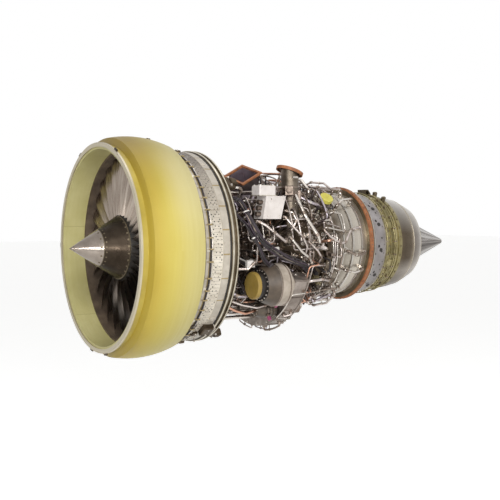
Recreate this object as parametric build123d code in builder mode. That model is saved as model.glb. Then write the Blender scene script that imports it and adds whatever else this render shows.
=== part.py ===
"""A two-shaft turbofan jet engine, without its nacelle, in millimetres.

X runs aft along the centreline and Z is up. The origin is the centre of the front face of the
fan case, which is where the intake bolts on. Sections are drawn as (station, radius) points.
"""
from build123d import *
import math
import os

os.makedirs("parts", exist_ok=True)

# Fan case
lip_height = 12
flange_thickness = 12
case_wall = 14
case_length = 417
case_aft_flange = 12
flange_hole_count = 12
flange_hole_radius = 3.5
wrap_front = 50
wrap_slope = 19
wrap_front_height = 42
wrap_crown_station = 230
wrap_crown_height = 54
wrap_rear_gap = 19
wrap_rear_height = 18
liner_front = 8
liner_length = 144
liner_thickness = 14
rub_strip_thickness = 26

# Rear fan case and fan frame
aft_case_length = 181
duct_radius = 588
aft_case_wall = 12
clip_count = 16
clip_size = 22
clip_height = 5
frame_length = 48
frame_rim = 19
frame_rim_length = 14
strut_count = 6
strut_width = 14
drive_strut_width = 36
strut_chord = 40
cowl_overlap = 22
cowl_radius = 330
cowl_wall = 14
cowl_ramp_length = 40
hub_radius = 196
weld_depth = 8
root_overlap = 1
cut_margin = 8
vane_count = 36
vane_offset = 31
vane_chord = 96
vane_thickness = 4
vane_angle = 16

# Rotating fan
spinner_length = 313
nose_length = 180
spinner_radius = 194
spinner_wall = 6
disk_front = 136
disk_length = 174
disk_rear_radius = 240
disk_rim = 36
disk_web_front = 205
disk_bore_length = 45
blade_count = 28
tip_clearance = 3
blade_root_front = 148
blade_root_chord = 140
blade_root_angle = 8
blade_mid_chord = 158
blade_mid_angle = 38
blade_tip_front = 197
blade_tip_chord = 176
blade_tip_angle = 60
blade_root_thickness = 14
blade_tip_thickness = 5
blade_camber = 0.085
blade_mid_forward = 14

# Shafts and bearings
lp_shaft_radius = 52
lp_shaft_wall = 12
core_shaft_inner = 60
core_shaft_wall = 12
running_clearance = 0.05
seat_clearance = 0.05
bearing_seat = 92
housing_wall = 16
housing_lead = 16
front_bearing_offset = 45
bearing_length = 34
core_front_bearing_offset = 6
core_rear_bearing_offset = 102
rear_bearing_offset = 50

# Core casings
compressor_length = 520
compressor_entry_length = 54
compressor_front_radius = 276
compressor_rear_radius = 236
compressor_wall = 12
split_flange_width = 22
split_flange_thickness = 11
combustor_length = 314
combustor_ramp_length = 92
combustor_radius = 345
combustor_wall = 8
inner_case_wall = 12
diffuser_strut_count = 8
diffuser_strut_width = 10
diffuser_strut_chord = 40
case_joint_height = 16
case_joint_length = 9
turbine_length = 332
turbine_rear_radius = 352
turbine_wall = 8
shroud_thickness = 34
shroud_length = 70
liner_wall = 5
liner_dome_station = 70
fuel_nozzle_count = 16
fuel_nozzle_radius = 9
fuel_nozzle_height = 26
fuel_nozzle_offset = 60
manifold_height = 12
bulkhead_thickness = 14
bulkhead_height = 34
seal_length = 26
seal_lip = 4
seal_height = 12
lp_turbine_gap = 24
lp_turbine_length = 134
lp_turbine_step = 2
lp_turbine_drop = 36
lp_turbine_wall = 7
port_angles = (46, 26, -2, -32, -49)
port_radius = 11
port_offset = 57
turbine_frame_length = 160
turbine_frame_step = 6
turbine_frame_drop = 8
turbine_frame_wall = 9
turbine_frame_flange = 10
turbine_frame_rim_height = 4
turbine_strut_count = 8
turbine_strut_width = 12
turbine_hub_wall = 18
rear_bearing_radius = 80
nozzle_length = 234
nozzle_mid_drop = 24
nozzle_exit_drop = 64
nozzle_wall = 4
nozzle_mid_share = 0.6
plug_shoulder = 190
plug_length = 758
plug_shoulder_station = 316
plug_tip_radius = 20
plug_wall = 5

# Core rotors
rotor_tip_clearance = 2
core_rotor_offset = 66
core_rotor_gap = 24
core_disc_count = 3
core_disc_length = 40
core_drum_step = 42
core_turbine_offset = 20
core_turbine_length = 52
lp_rotor_offset = 32
lp_disc_length = 34
lp_disc_gap = 22
lp_disc_web = 250

# Stator vane drive on the compressor case
ring_offset = 114
ring_length = 18
ring_height = 14
ring_gap = 16
lug_width = 26
lug_height = 26
rod_radius = 7
rod_length = 120
rod_gap = 1.2
actuator_radius = 17
actuator_start = 60
actuator_length = 130
actuator_end_wall = 10
actuator_angle = 150
actuator_grip = 4

# Gearbox and drives
gearbox_offset = 474
gearbox_length = 112
gearbox_inner = 424
gearbox_outer = 540
gearbox_start_angle = 203
gearbox_end_angle = 337
radial_shaft_radius = 11
radial_shaft_top = 118
drive_depth = 480
transfer_length = 90
transfer_width = 92
transfer_height = 104
transfer_corner = 20
cross_shaft_radius = 12
shaft_seat = 34
shaft_end_gap = 0.5

# Accessories
starter_angle = 208.7
starter_centre = 490
starter_length = 220
starter_front_radius = 102
starter_rear_radius = 134
starter_cone_length = 80
starter_barrel_length = 38
starter_barrel_radius = 82
starter_neck_length = 40
starter_shoulder_length = 20
starter_neck_radius = 62
cover_radius = 86
cover_thickness = 24
cover_chamfer = 6
pump_angle = 238
pump_radius = 52
pump_length = 150
alternator_angle = 300
alternator_radius = 54
alternator_length = 120
accessory_waist = 12
accessory_taper = 0.3
control_length = 96
control_width = 172
control_height = 86
control_corner = 14
control_motor_radius = 34
control_motor_length = 48
oil_tank_offset = 234
oil_tank_length = 330
oil_tank_inner = 408
oil_tank_outer = 520
oil_tank_start_angle = -20
oil_tank_end_angle = 22
oil_cap_radius = 26
oil_cap_height = 18
oil_neck_radius = 30
oil_neck_height = 14
oil_cap_angle = 14
oil_grip_length = 42
oil_grip_size = 8
cap_gap = 0.3
box_offset = 308
box_length = 146
box_foot_offset = 282
box_foot_length = 135
box_height = 144
box_depth = 110
box_bottom = 176
box_front = -420
box_arm_offset = 34
exciter_offset = 257
exciter_length = 122
exciter_height = 64
exciter_depth = 96
exciter_corner = 8
duct_mouth_offset = 299
duct_mouth_y = -150
duct_mouth_z = 455
duct_mouth_length = 148
duct_mouth_width = 186
duct_rise_angle = 29
duct_lean_angle = 21
duct_throat_offset = 364
duct_throat_y = -70
duct_throat_z = 330
duct_throat_length = 110
duct_throat_width = 120
duct_wall = 6
duct_floor = 290
duct_seal_width = 9
duct_seal_height = 12
valve_offset = 79
valve_y = -250
valve_top = 492
valve_bore = 50
valve_wall = 8
valve_flange_radius = 82
valve_flange_height = 12
valve_disc_gap = 0.4
valve_disc_thickness = 5
valve_disc_depth = 46
valve_floor = 390
valve_pin_radius = 5
valve_pin_gap = 2
valve_lever = 30
valve_lean_angle = 20
clamp_wall = 8
clamp_width = 20
cover_offset = 43
cover_angle = 131.4
cover_boss_radius = 30
cover_boss_height = 50
port_cover_radius = 46
port_cover_height = 24

# Mounts and pipes
front_mount_length = 54
front_mount_width = 110
front_mount_height = 194
front_mount_hole = 14
rear_mount_offset = 56
rear_mount_length = 56
rear_mount_width = 80
rear_mount_height = 50
rear_mount_hole = 12
mount_depth = 30
bracket_size = 20
bracket_root = 196
roller_gap = 0.5
roller_angles = (45, 135, 225, 315)
gearbox_link_angles = (225, 315)
tank_strap_angle = 8
tank_strap_offset = 60
actuator_arm_angle = 20
pipe_foot_depth = 150
bend_radii = 2.5

# Routes of the pipes: radius, whether each end turns down to the core, and the points. A point is
# (run, angle, height). The run goes 0 to 1 along the compressor case, 1 to 2 along the combustor
# case and 2 to 3 along the turbine case. The height is above the combustor case's radius.
pipe_routes = (
    # Left side, front
    (
        9,
        True,
        True,
        (0.43, 160, 133),
        (0.52, 164, 147),
        (0.61, 169, 155),
        (0.78, 176, 147),
        (0.84, 174, 110),
    ),
    (9, True, True, (0.13, 128, 80), (0.26, 126, 120), (0.40, 128, 120)),
    (8, True, True, (0.14, 197, 95), (0.30, 196, 125), (0.38, 190, 135)),
    (9, True, False, (0.142, 230, 125), (0.296, 233, 155), (0.45, 236, 165), (0.66, 238, 137)),
    (8, True, True, (0.16, 224, 125), (0.335, 226, 155), (0.546, 228, 170), (0.70, 228, 155)),
    (10, True, True, (0.142, 218, 85), (0.26, 220, 123), (0.41, 221, 125)),
    # Left side, around the combustor
    (
        12,
        False,
        True,
        (1.25, 122, 127),
        (1.21, 147, 125),
        (1.25, 156, 125),
        (1.51, 172, 115),
        (1.59, 177, 95),
    ),
    (
        8,
        True,
        True,
        (0.883, 154, 95),
        (0.969, 165, 113),
        (1.124, 172, 115),
        (1.236, 180, 110),
        (1.23, 192, 85),
    ),
    (9, True, True, (0.90, 172, 107), (1.076, 184, 125), (1.274, 189, 125), (1.395, 194, 107)),
    (7, True, True, (0.93, 148, 85), (1.019, 151, 101), (1.06, 158, 101), (0.97, 166, 75)),
    (11, False, True, (1.25, 124.8, 93), (1.57, 138, 85), (1.75, 141, 82), (1.85, 141, 65)),
    (8, True, True, (1.38, 176, 65), (1.57, 184, 81), (1.68, 190, 79), (1.66, 198, 55)),
    (7, True, True, (1.586, 159, 50), (1.70, 156, 40), (2.08, 154, 40)),
    (10, True, True, (1.306, 214, 85), (1.52, 210, 105), (1.81, 210, 95), (2.09, 216, 55)),
    (7, True, True, (1.306, 224, 115), (1.68, 224, 95), (2.12, 228, 57), (2.48, 228, 55)),
    # Left side, along the turbine case
    (
        8,
        True,
        True,
        (1.866, 149, 63),
        (1.79, 166, 71),
        (1.90, 171, 71),
        (2.196, 178, 63),
        (2.33, 177, 57),
        (2.506, 165, 51),
        (2.78, 162, 43),
    ),
    (6, True, True, (2.24, 174, 33), (2.31, 192, 37), (2.33, 214, 35), (2.24, 230, 35)),
    (8, True, True, (2.35, 138, 55), (2.55, 132, 62), (2.85, 128, 50)),
    (9, True, True, (2.45, 186, 45), (2.65, 190, 50), (2.88, 188, 42)),
    (8, True, True, (2.45, 206, 45), (2.70, 208, 50), (2.90, 206, 42)),
    # Top
    (10, True, True, (0.13, 118, 80), (0.28, 112, 110), (0.34, 98, 100)),
    (9, True, True, (0.185, 84, 100), (0.45, 80, 125), (0.75, 78, 125), (1.05, 80, 120), (1.40, 84, 60)),
    (
        8,
        True,
        True,
        (0.13, 75, 90),
        (0.40, 70, 110),
        (0.80, 66, 110),
        (1.20, 62, 120),
        (1.60, 64, 100),
        (1.90, 66, 60),
    ),
    (
        12,
        True,
        True,
        (0.16, 50, 110),
        (0.50, 46, 140),
        (0.95, 46, 140),
        (1.65, 52, 90),
        (2.10, 54, 60),
        (2.60, 54, 50),
    ),
    (
        8,
        True,
        True,
        (0.55, 38, 100),
        (0.70, 34, 110),
        (1.10, 36, 110),
        (1.30, 30, 100),
        (1.60, 28, 85),
        (2.10, 30, 60),
    ),
    (10, True, True, (1.68, 128, 110), (1.72, 112, 120), (1.70, 95, 120), (1.66, 80, 115)),
    (8, True, True, (1.58, 100, 70), (1.90, 102, 60), (2.30, 104, 60), (2.85, 108, 50)),
    (
        7,
        True,
        True,
        (2.40, 122, 85),
        (2.44, 104, 88),
        (2.44, 84, 88),
        (2.42, 66, 88),
        (2.38, 46, 85),
        (2.36, 30, 60),
    ),
    # Right side
    (10, True, True, (0.13, 20, 100), (0.24, 14, 130), (0.36, 6, 140), (0.38, -8, 120)),
    (10, True, True, (1.25, 12, 100), (1.50, 8, 110), (1.85, 4, 80), (2.20, 2, 55), (2.70, 6, 45)),
    (
        8,
        True,
        True,
        (1.20, -10, 90),
        (1.45, -14, 105),
        (1.80, -12, 85),
        (2.15, -16, 50),
        (2.50, -20, 45),
    ),
    (
        8,
        True,
        True,
        (0.14, -30, 90),
        (0.40, -34, 110),
        (0.75, -32, 100),
        (0.95, -30, 45),
        (1.22, -28, 50),
        (1.60, -30, 90),
    ),
    (10, True, True, (0.30, -52, 100), (0.60, -50, 120), (0.80, -48, 70), (0.95, -48, 40)),
    (8, True, True, (1.30, -48, 80), (1.60, -44, 85), (2.05, -46, 60), (2.50, -44, 50)),
    (7, True, True, (2.20, -30, 90), (2.24, -12, 90), (2.24, 8, 92), (2.20, 24, 70)),
    (9, True, True, (2.70, -75, 70), (2.74, -55, 75), (2.72, -35, 75), (2.66, -15, 70)),
    # Underneath
    (
        8,
        True,
        True,
        (0.15, -75, 80),
        (0.40, -72, 110),
        (0.70, -71, 100),
        (0.90, -71, 50),
        (1.25, -72, 60),
        (1.90, -72, 50),
    ),
    (
        10,
        True,
        True,
        (0.15, -106, 85),
        (0.40, -108, 115),
        (0.62, -108, 115),
        (0.82, -106, 50),
        (1.62, -106, 65),
        (2.60, -102, 50),
    ),
    (12, False, True, (1.45, -86, 135), (1.70, -86, 130), (1.95, -84, 90), (2.20, -82, 50)),
    (9, False, True, (1.15, -125, 130), (1.35, -125, 125), (1.62, -122, 100), (1.90, -122, 60)),
    (9, False, True, (1.15, -50, 130), (1.35, -52, 120), (1.60, -56, 90), (1.85, -58, 55)),
    (
        8,
        True,
        True,
        (2.38, -128, 85),
        (2.42, -110, 88),
        (2.42, -90, 88),
        (2.40, -72, 88),
        (2.36, -56, 70),
    ),
)

# Stations that follow from the sizes above
aft_case_front = case_length
frame_front = aft_case_front + aft_case_length
frame_rear = frame_front + frame_length
compressor_rear = frame_rear + compressor_length
combustor_rear = compressor_rear + combustor_length
turbine_rear = combustor_rear + turbine_length
bulkhead_rear = turbine_rear + bulkhead_thickness
lp_turbine_front = bulkhead_rear + lp_turbine_gap
lp_turbine_rear = lp_turbine_front + lp_turbine_length
turbine_frame_rear = lp_turbine_rear + turbine_frame_length
nozzle_exit = turbine_frame_rear + nozzle_length
spinner_tip = disk_front - spinner_length
wrap_rear_station = case_length - wrap_rear_gap
cowl_nose = case_length - cowl_overlap
vane_front = case_length + vane_offset
front_bearing_station = case_length - front_bearing_offset
housing_front = front_bearing_station - housing_lead
core_front_bearing_station = frame_rear + core_front_bearing_offset
core_rear_bearing_station = combustor_rear - core_rear_bearing_offset
rear_bearing_station = lp_turbine_rear + rear_bearing_offset
lp_shaft_rear = rear_bearing_station + bearing_length
radial_shaft_station = frame_front + frame_length / 2
core_rotor_front = frame_rear + core_rotor_offset
core_rotor_length = compressor_rear - core_rotor_gap - core_rotor_front
core_turbine_station = combustor_rear + core_turbine_offset
lp_turbine_station = lp_turbine_front + lp_rotor_offset
ring_station = frame_rear + ring_offset
gearbox_station = frame_rear + gearbox_offset
starter_front = gearbox_station - starter_length
oil_tank_station = frame_rear + oil_tank_offset
box_station = frame_rear + box_offset
box_foot_station = frame_rear + box_foot_offset
exciter_station = frame_rear + exciter_offset
duct_mouth_station = frame_rear + duct_mouth_offset
duct_throat_station = frame_rear + duct_throat_offset
valve_station = compressor_rear + valve_offset
cover_station = combustor_rear + cover_offset
rear_mount_station = lp_turbine_rear + rear_mount_offset

# Radii that follow from the sizes above
blade_tip_radius = duct_radius - tip_clearance
case_bore = duct_radius + rub_strip_thickness
case_radius = case_bore + case_wall
lip_radius = case_radius + lip_height
aft_case_radius = duct_radius + aft_case_wall
housing_radius = bearing_seat + housing_wall
core_shaft_outer = core_shaft_inner + core_shaft_wall
bulkhead_radius = turbine_rear_radius + bulkhead_height
lp_turbine_front_radius = bulkhead_radius - lp_turbine_step
lp_turbine_rear_radius = lp_turbine_front_radius - lp_turbine_drop
turbine_frame_front_radius = lp_turbine_rear_radius - turbine_frame_step
turbine_frame_rear_radius = turbine_frame_front_radius - turbine_frame_drop
turbine_frame_rim = lp_turbine_rear_radius + turbine_frame_rim_height
nozzle_mid_radius = turbine_frame_rear_radius - nozzle_mid_drop
nozzle_exit_radius = turbine_frame_rear_radius - nozzle_exit_drop
front_mount_top = compressor_front_radius + front_mount_height
rear_mount_top = turbine_frame_rear_radius + rear_mount_height


def turn(points, mode=Mode.ADD):
    """Turn a closed outline of (station, radius) points about the centreline."""
    with BuildSketch(Plane.XZ) as section:
        with BuildLine():
            Polyline(*points, close=True)
        make_face()
    revolve(section.sketch, axis=Axis.X, mode=mode)


def ring(start, length, inner, outer, mode=Mode.ADD):
    """A plain ring between two radii."""
    turn([(start, inner), (start, outer), (start + length, outer), (start + length, inner)], mode)


def save(part, label):
    part.label = label
    export_step(part, f"parts/{label}.step")


def radial_plane(station, radius, angle):
    """A plane at a radius whose normal points outwards; the angle runs from +Y towards +Z."""
    a = math.radians(angle)
    outward = (0, math.cos(a), math.sin(a))
    return Plane(
        origin=(station, radius * outward[1], radius * outward[2]),
        x_dir=(1, 0, 0),
        z_dir=outward,
    )


def post(station, radius, angle, height, sketch_radius, mode=Mode.ADD):
    """A round post that stands outwards from a radius."""
    with BuildSketch(radial_plane(station, radius, angle)) as disc:
        Circle(sketch_radius)
    extrude(disc.sketch, amount=height, mode=mode)


def block(station, radius, angle, length, width, height, mode=Mode.ADD):
    """A rectangular block that stands outwards from a radius."""
    with BuildSketch(radial_plane(station, radius, angle)) as foot:
        Rectangle(length, width)
    extrude(foot.sketch, amount=height, mode=mode)


def axial_disc(station, angle, centre, length, radius, mode=Mode.ADD):
    """A cylinder along X, off the centreline."""
    a = math.radians(angle)
    place = Plane(
        origin=(station, centre * math.cos(a), centre * math.sin(a)),
        x_dir=(0, 1, 0),
        z_dir=(1, 0, 0),
    )
    with BuildSketch(place) as disc:
        Circle(radius)
    extrude(disc.sketch, amount=length, mode=mode)


def compressor_radius(station):
    """Outer radius of the compressor case at a station behind its entry."""
    front = frame_rear + compressor_entry_length
    share = (station - front) / (compressor_rear - front)
    return compressor_front_radius + share * (compressor_rear_radius - compressor_front_radius)


# Front fan case: flange, barrel and an inward flange that carries the rear case
with BuildPart() as fan_case:
    turn(
        [
            (0, case_bore),
            (0, lip_radius),
            (flange_thickness, lip_radius),
            (flange_thickness, case_radius),
            (case_length - case_aft_flange, case_radius),
            (case_length, case_bore),
            (case_length, duct_radius),
            (case_length - case_aft_flange, duct_radius),
            (case_length - case_aft_flange, case_bore),
        ]
    )
    with BuildSketch(Plane.YZ) as flange_holes:
        with PolarLocations((case_radius + lip_radius) / 2, flange_hole_count):
            Circle(flange_hole_radius)
    extrude(flange_holes.sketch, amount=flange_thickness, mode=Mode.SUBTRACT)
save(fan_case.part, "fan_case")

# Fibre wrap that would catch a broken blade
with BuildPart() as containment_wrap:
    shoulder = (wrap_front + wrap_slope, case_radius + wrap_front_height)
    crown = (wrap_crown_station, case_radius + wrap_crown_height)
    wrap_end = (wrap_rear_station, case_radius + wrap_rear_height)
    with BuildSketch(Plane.XZ) as wrap_section:
        with BuildLine():
            ThreePointArc(shoulder, crown, wrap_end)
            Polyline(
                wrap_end,
                (case_length - case_aft_flange, case_radius),
                (wrap_front, case_radius),
                shoulder,
            )
        make_face()
    revolve(wrap_section.sketch, axis=Axis.X)
save(containment_wrap.part, "containment_wrap")

with BuildPart() as acoustic_liner:
    ring(liner_front, liner_length, case_bore - liner_thickness, case_bore)
save(acoustic_liner.part, "acoustic_liner")

rub_strip_front = liner_front + liner_length
with BuildPart() as rub_strip:
    rub_strip_length = case_length - case_aft_flange - rub_strip_front
    ring(rub_strip_front, rub_strip_length, case_bore - rub_strip_thickness, case_bore)
save(rub_strip.part, "rub_strip")

with BuildPart() as rear_fan_case:
    ring(aft_case_front, aft_case_length, duct_radius, aft_case_radius)
save(rear_fan_case.part, "rear_fan_case")

# Clips along the joint of the two fan cases
with BuildPart() as joint_clips:
    for n in range(clip_count):
        block(
            aft_case_front + clip_size,
            aft_case_radius,
            n * 360 / clip_count,
            clip_size,
            clip_size,
            clip_height,
        )
save(joint_clips.part, "joint_clips")

# Fan frame: outer ring, cowl ring and hub joined by struts; the lowest strut holds a drive shaft
with BuildPart() as fan_frame:
    rim_radius = duct_radius + frame_rim
    turn(
        [
            (frame_front, duct_radius),
            (frame_front, rim_radius),
            (frame_front + frame_rim_length, rim_radius),
            (frame_front + frame_rim_length, aft_case_radius),
            (frame_rear - frame_rim_length, aft_case_radius),
            (frame_rear - frame_rim_length, rim_radius),
            (frame_rear, rim_radius),
            (frame_rear, duct_radius),
        ]
    )
    ring(frame_front, frame_length, cowl_radius - cowl_wall, cowl_radius)
    ring(frame_front, frame_length, housing_radius, hub_radius)
    for n in range(strut_count):
        angle = -90 + n * 360 / strut_count
        width = drive_strut_width if n == 0 else strut_width
        inner_height = cowl_radius - cowl_wall - hub_radius + 2 * weld_depth
        outer_height = duct_radius - cowl_radius + 2 * weld_depth
        block(radial_shaft_station, hub_radius - weld_depth, angle, strut_chord, width, inner_height)
        block(radial_shaft_station, cowl_radius - weld_depth, angle, strut_chord, width, outer_height)
    post(
        radial_shaft_station,
        radial_shaft_top - shaft_seat,
        -90,
        drive_depth - radial_shaft_top + 2 * shaft_seat,
        radial_shaft_radius + running_clearance,
        mode=Mode.SUBTRACT,
    )
save(fan_frame.part, "fan_frame")

# Splitter that parts the core stream from the bypass stream
with BuildPart() as core_splitter:
    turn(
        [
            (cowl_nose, cowl_radius - cowl_wall),
            (cowl_nose + cowl_ramp_length, cowl_radius),
            (frame_front, cowl_radius),
            (frame_front, cowl_radius - cowl_wall),
        ]
    )
save(core_splitter.part, "core_splitter")

# Guide vanes behind the fan, flat enough at each end to clear the round walls
vane_rise = vane_chord * math.sin(math.radians(vane_angle)) / 2 + vane_thickness
vane_sag = vane_rise**2 / (2 * duct_radius) + seat_clearance
with BuildPart() as outlet_guide_vanes:
    for n in range(vane_count):
        with BuildSketch(
            radial_plane(vane_front + vane_chord / 2, cowl_radius, n * 360 / vane_count)
        ) as vane_section:
            Rectangle(vane_chord, vane_thickness, rotation=vane_angle)
        extrude(vane_section.sketch, amount=duct_radius - cowl_radius - vane_sag)
save(outlet_guide_vanes.part, "outlet_guide_vanes")

# Sump tube that carries the front bearings inside the frame hub
with BuildPart() as bearing_housing:
    housing_length = core_front_bearing_station + bearing_length - housing_front
    ring(housing_front, housing_length, bearing_seat, housing_radius)
    post(
        radial_shaft_station,
        bearing_seat - cut_margin,
        -90,
        housing_wall + 2 * cut_margin,
        radial_shaft_radius + running_clearance,
        mode=Mode.SUBTRACT,
    )
save(bearing_housing.part, "bearing_housing")

# Bearings: the first and last carry the fan shaft, the middle pair the core shaft
with BuildPart() as shaft_bearings:
    fan_shaft_bore = lp_shaft_radius + running_clearance
    core_shaft_bore = core_shaft_outer + running_clearance
    ring(front_bearing_station, bearing_length, fan_shaft_bore, bearing_seat)
    ring(core_front_bearing_station, bearing_length, core_shaft_bore, bearing_seat)
    ring(core_rear_bearing_station, bearing_length, core_shaft_bore, bearing_seat)
    ring(rear_bearing_station, bearing_length, fan_shaft_bore, rear_bearing_radius)
save(shaft_bearings.part, "shaft_bearings")

# Spinner: a bright nose and a dark rear cone on one straight slope
def spinner_outline(station):
    """Outer radius of the spinner at a station."""
    return spinner_radius * (station - spinner_tip) / spinner_length


joint_station = spinner_tip + nose_length
joint_radius = spinner_outline(joint_station)
with BuildPart() as spinner_nose:
    turn(
        [
            (spinner_tip, 0),
            (joint_station, joint_radius),
            (joint_station, joint_radius - spinner_wall),
            (spinner_tip + 2 * spinner_wall, 0),
        ]
    )
save(spinner_nose.part, "spinner_nose")

with BuildPart() as spinner_cone:
    turn(
        [
            (joint_station, joint_radius - spinner_wall),
            (joint_station, joint_radius),
            (disk_front, spinner_radius),
            (disk_front, spinner_radius - spinner_wall),
        ]
    )
save(spinner_cone.part, "spinner_cone")

disk_rear = disk_front + disk_length
with BuildPart() as fan_disk:
    turn(
        [
            (disk_front, spinner_radius),
            (disk_rear, disk_rear_radius),
            (disk_rear, disk_rear_radius - disk_rim),
            (disk_web_front + disk_bore_length, lp_shaft_radius),
            (disk_web_front, lp_shaft_radius),
            (disk_front, spinner_radius - disk_rim),
        ]
    )
save(fan_disk.part, "fan_disk")


def blade_section(radius, front, chord, angle, thickness):
    """A curved blade section across a radius; its angle is measured from the engine's axis."""
    tilt = math.radians(angle)
    run = chord * math.cos(tilt)
    rise = chord * math.sin(tilt)
    start = (front, rise / 2)
    end = (front + run, -rise / 2)
    bow = blade_camber * chord
    suction = (
        front + run / 2 - (bow + thickness / 2) * math.sin(tilt),
        -(bow + thickness / 2) * math.cos(tilt),
    )
    pressure = (
        front + run / 2 - (bow - thickness / 2) * math.sin(tilt),
        -(bow - thickness / 2) * math.cos(tilt),
    )
    with BuildSketch(Plane.XY.offset(radius)) as section:
        with BuildLine():
            ThreePointArc(start, suction, end)
            ThreePointArc(start, pressure, end)
        make_face()
    return section.sketch


# One blade is trimmed to the disk and to its tip radius, and the others are turned copies
blade_mid_radius = (disk_rear_radius + blade_tip_radius) / 2
blade_mid_front = (blade_root_front + blade_tip_front) / 2 - blade_mid_forward
with BuildPart() as first_blade:
    loft(
        [
            blade_section(
                spinner_radius * 0.9,
                blade_root_front,
                blade_root_chord,
                blade_root_angle,
                blade_root_thickness,
            ),
            blade_section(
                blade_mid_radius,
                blade_mid_front,
                blade_mid_chord,
                blade_mid_angle,
                (blade_root_thickness + blade_tip_thickness) / 2,
            ),
            blade_section(
                blade_tip_radius + tip_clearance,
                blade_tip_front,
                blade_tip_chord,
                blade_tip_angle,
                blade_tip_thickness,
            ),
        ]
    )
    turn(
        [
            (disk_front, spinner_radius),
            (disk_rear, disk_rear_radius),
            (disk_rear, lp_shaft_radius),
            (disk_front, lp_shaft_radius),
        ],
        mode=Mode.SUBTRACT,
    )
    ring(0, case_length, blade_tip_radius, case_bore, mode=Mode.SUBTRACT)
fan_blades = Compound(
    children=[first_blade.part.rotate(Axis.X, n * 360 / blade_count) for n in range(blade_count)]
)
save(fan_blades, "fan_blades")

with BuildPart() as fan_shaft:
    ring(disk_web_front, lp_shaft_rear - disk_web_front, lp_shaft_radius - lp_shaft_wall, lp_shaft_radius)
save(fan_shaft.part, "fan_shaft")


# Compressor case in two halves with a bolted split along the sides
def compressor_half(upper):
    side = 1 if upper else -1
    entry_rear = frame_rear + compressor_entry_length
    with BuildPart() as half:
        turn(
            [
                (frame_rear, cowl_radius - cowl_wall),
                (frame_rear, cowl_radius),
                (entry_rear, compressor_front_radius),
                (compressor_rear, compressor_rear_radius),
                (compressor_rear, compressor_rear_radius - compressor_wall),
                (entry_rear, compressor_front_radius - compressor_wall),
            ]
        )
        split(bisect_by=Plane.XY, keep=Keep.TOP if upper else Keep.BOTTOM)
        for hand in (1, -1):
            with BuildSketch(Plane.XY) as bar:
                with BuildLine():
                    Polyline(
                        (entry_rear, hand * (compressor_front_radius - root_overlap)),
                        (entry_rear, hand * (compressor_front_radius + split_flange_width)),
                        (compressor_rear, hand * (compressor_rear_radius + split_flange_width)),
                        (compressor_rear, hand * (compressor_rear_radius - root_overlap)),
                        close=True,
                    )
                make_face()
            extrude(bar.sketch, amount=side * split_flange_thickness)
    return half.part


save(compressor_half(True), "upper_compressor_case")
save(compressor_half(False), "lower_compressor_case")

# Combustor case: outer wall, inner tube and the struts that join them
with BuildPart() as combustor_case:
    turn(
        [
            (compressor_rear, compressor_rear_radius - compressor_wall),
            (compressor_rear, compressor_rear_radius),
            (compressor_rear + combustor_ramp_length, combustor_radius),
            (combustor_rear, combustor_radius),
            (combustor_rear, combustor_radius - combustor_wall),
            (compressor_rear + combustor_ramp_length, combustor_radius - combustor_wall),
        ]
    )
    front_root = compressor_rear_radius - compressor_wall
    rear_root = combustor_radius - combustor_wall
    rear_joint = combustor_rear - case_joint_length
    ring(compressor_rear, case_joint_length, front_root, compressor_rear_radius + case_joint_height)
    ring(rear_joint, case_joint_length, rear_root, combustor_radius + case_joint_height)
    inner_case_length = core_rear_bearing_station + bearing_length - compressor_rear
    ring(compressor_rear, inner_case_length, bearing_seat, bearing_seat + inner_case_wall)
    for n in range(diffuser_strut_count):
        block(
            compressor_rear + diffuser_strut_chord / 2,
            bearing_seat + inner_case_wall / 2,
            (n + 0.5) * 360 / diffuser_strut_count,
            diffuser_strut_chord,
            diffuser_strut_width,
            compressor_rear_radius - compressor_wall / 2 - bearing_seat - inner_case_wall / 2,
        )
save(combustor_case.part, "combustor_case")

# Flame tube: an open ring with a domed front, carried at its rear edges
liner_front_station = compressor_rear + liner_dome_station
liner_outer = combustor_radius - combustor_wall
liner_inner = bearing_seat + inner_case_wall
liner_middle = (liner_outer + liner_inner) / 2
liner_rear = core_rear_bearing_station + bearing_length
with BuildPart() as flame_tube:
    turn(
        [
            (liner_front_station, liner_middle),
            (liner_rear, liner_outer),
            (liner_rear, liner_outer - liner_wall),
            (liner_front_station + 3 * liner_wall, liner_middle),
            (liner_rear, liner_inner + liner_wall),
            (liner_rear, liner_inner),
        ]
    )
save(flame_tube.part, "flame_tube")

# Fuel nozzles stand around the combustor case and share one manifold
fuel_nozzle_station = compressor_rear + combustor_ramp_length + fuel_nozzle_offset
with BuildPart() as fuel_nozzles:
    for n in range(fuel_nozzle_count):
        post(
            fuel_nozzle_station,
            combustor_radius,
            (n + 0.5) * 360 / fuel_nozzle_count,
            fuel_nozzle_height,
            fuel_nozzle_radius,
        )
save(fuel_nozzles.part, "fuel_nozzles")

with BuildPart() as fuel_manifold:
    manifold_inner = math.hypot(combustor_radius + fuel_nozzle_height, fuel_nozzle_radius) + seat_clearance
    ring(
        fuel_nozzle_station - manifold_height / 2,
        manifold_height,
        manifold_inner,
        manifold_inner + manifold_height,
    )
save(fuel_manifold.part, "fuel_manifold")

# High pressure turbine case: bright steel, thicker where it shrouds the blades
with BuildPart() as turbine_case:
    shroud_front = core_turbine_station - (shroud_length - core_turbine_length) / 2
    turn(
        [
            (combustor_rear, combustor_radius - turbine_wall),
            (combustor_rear, combustor_radius),
            (turbine_rear, turbine_rear_radius),
            (turbine_rear, turbine_rear_radius - turbine_wall),
        ]
    )
    case_root = combustor_radius - turbine_wall
    ring(combustor_rear, case_joint_length, case_root, combustor_radius + case_joint_height)
    ring(
        shroud_front,
        shroud_length,
        combustor_radius - turbine_wall - shroud_thickness,
        combustor_radius - turbine_wall / 2,
    )
save(turbine_case.part, "turbine_case")

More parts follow.
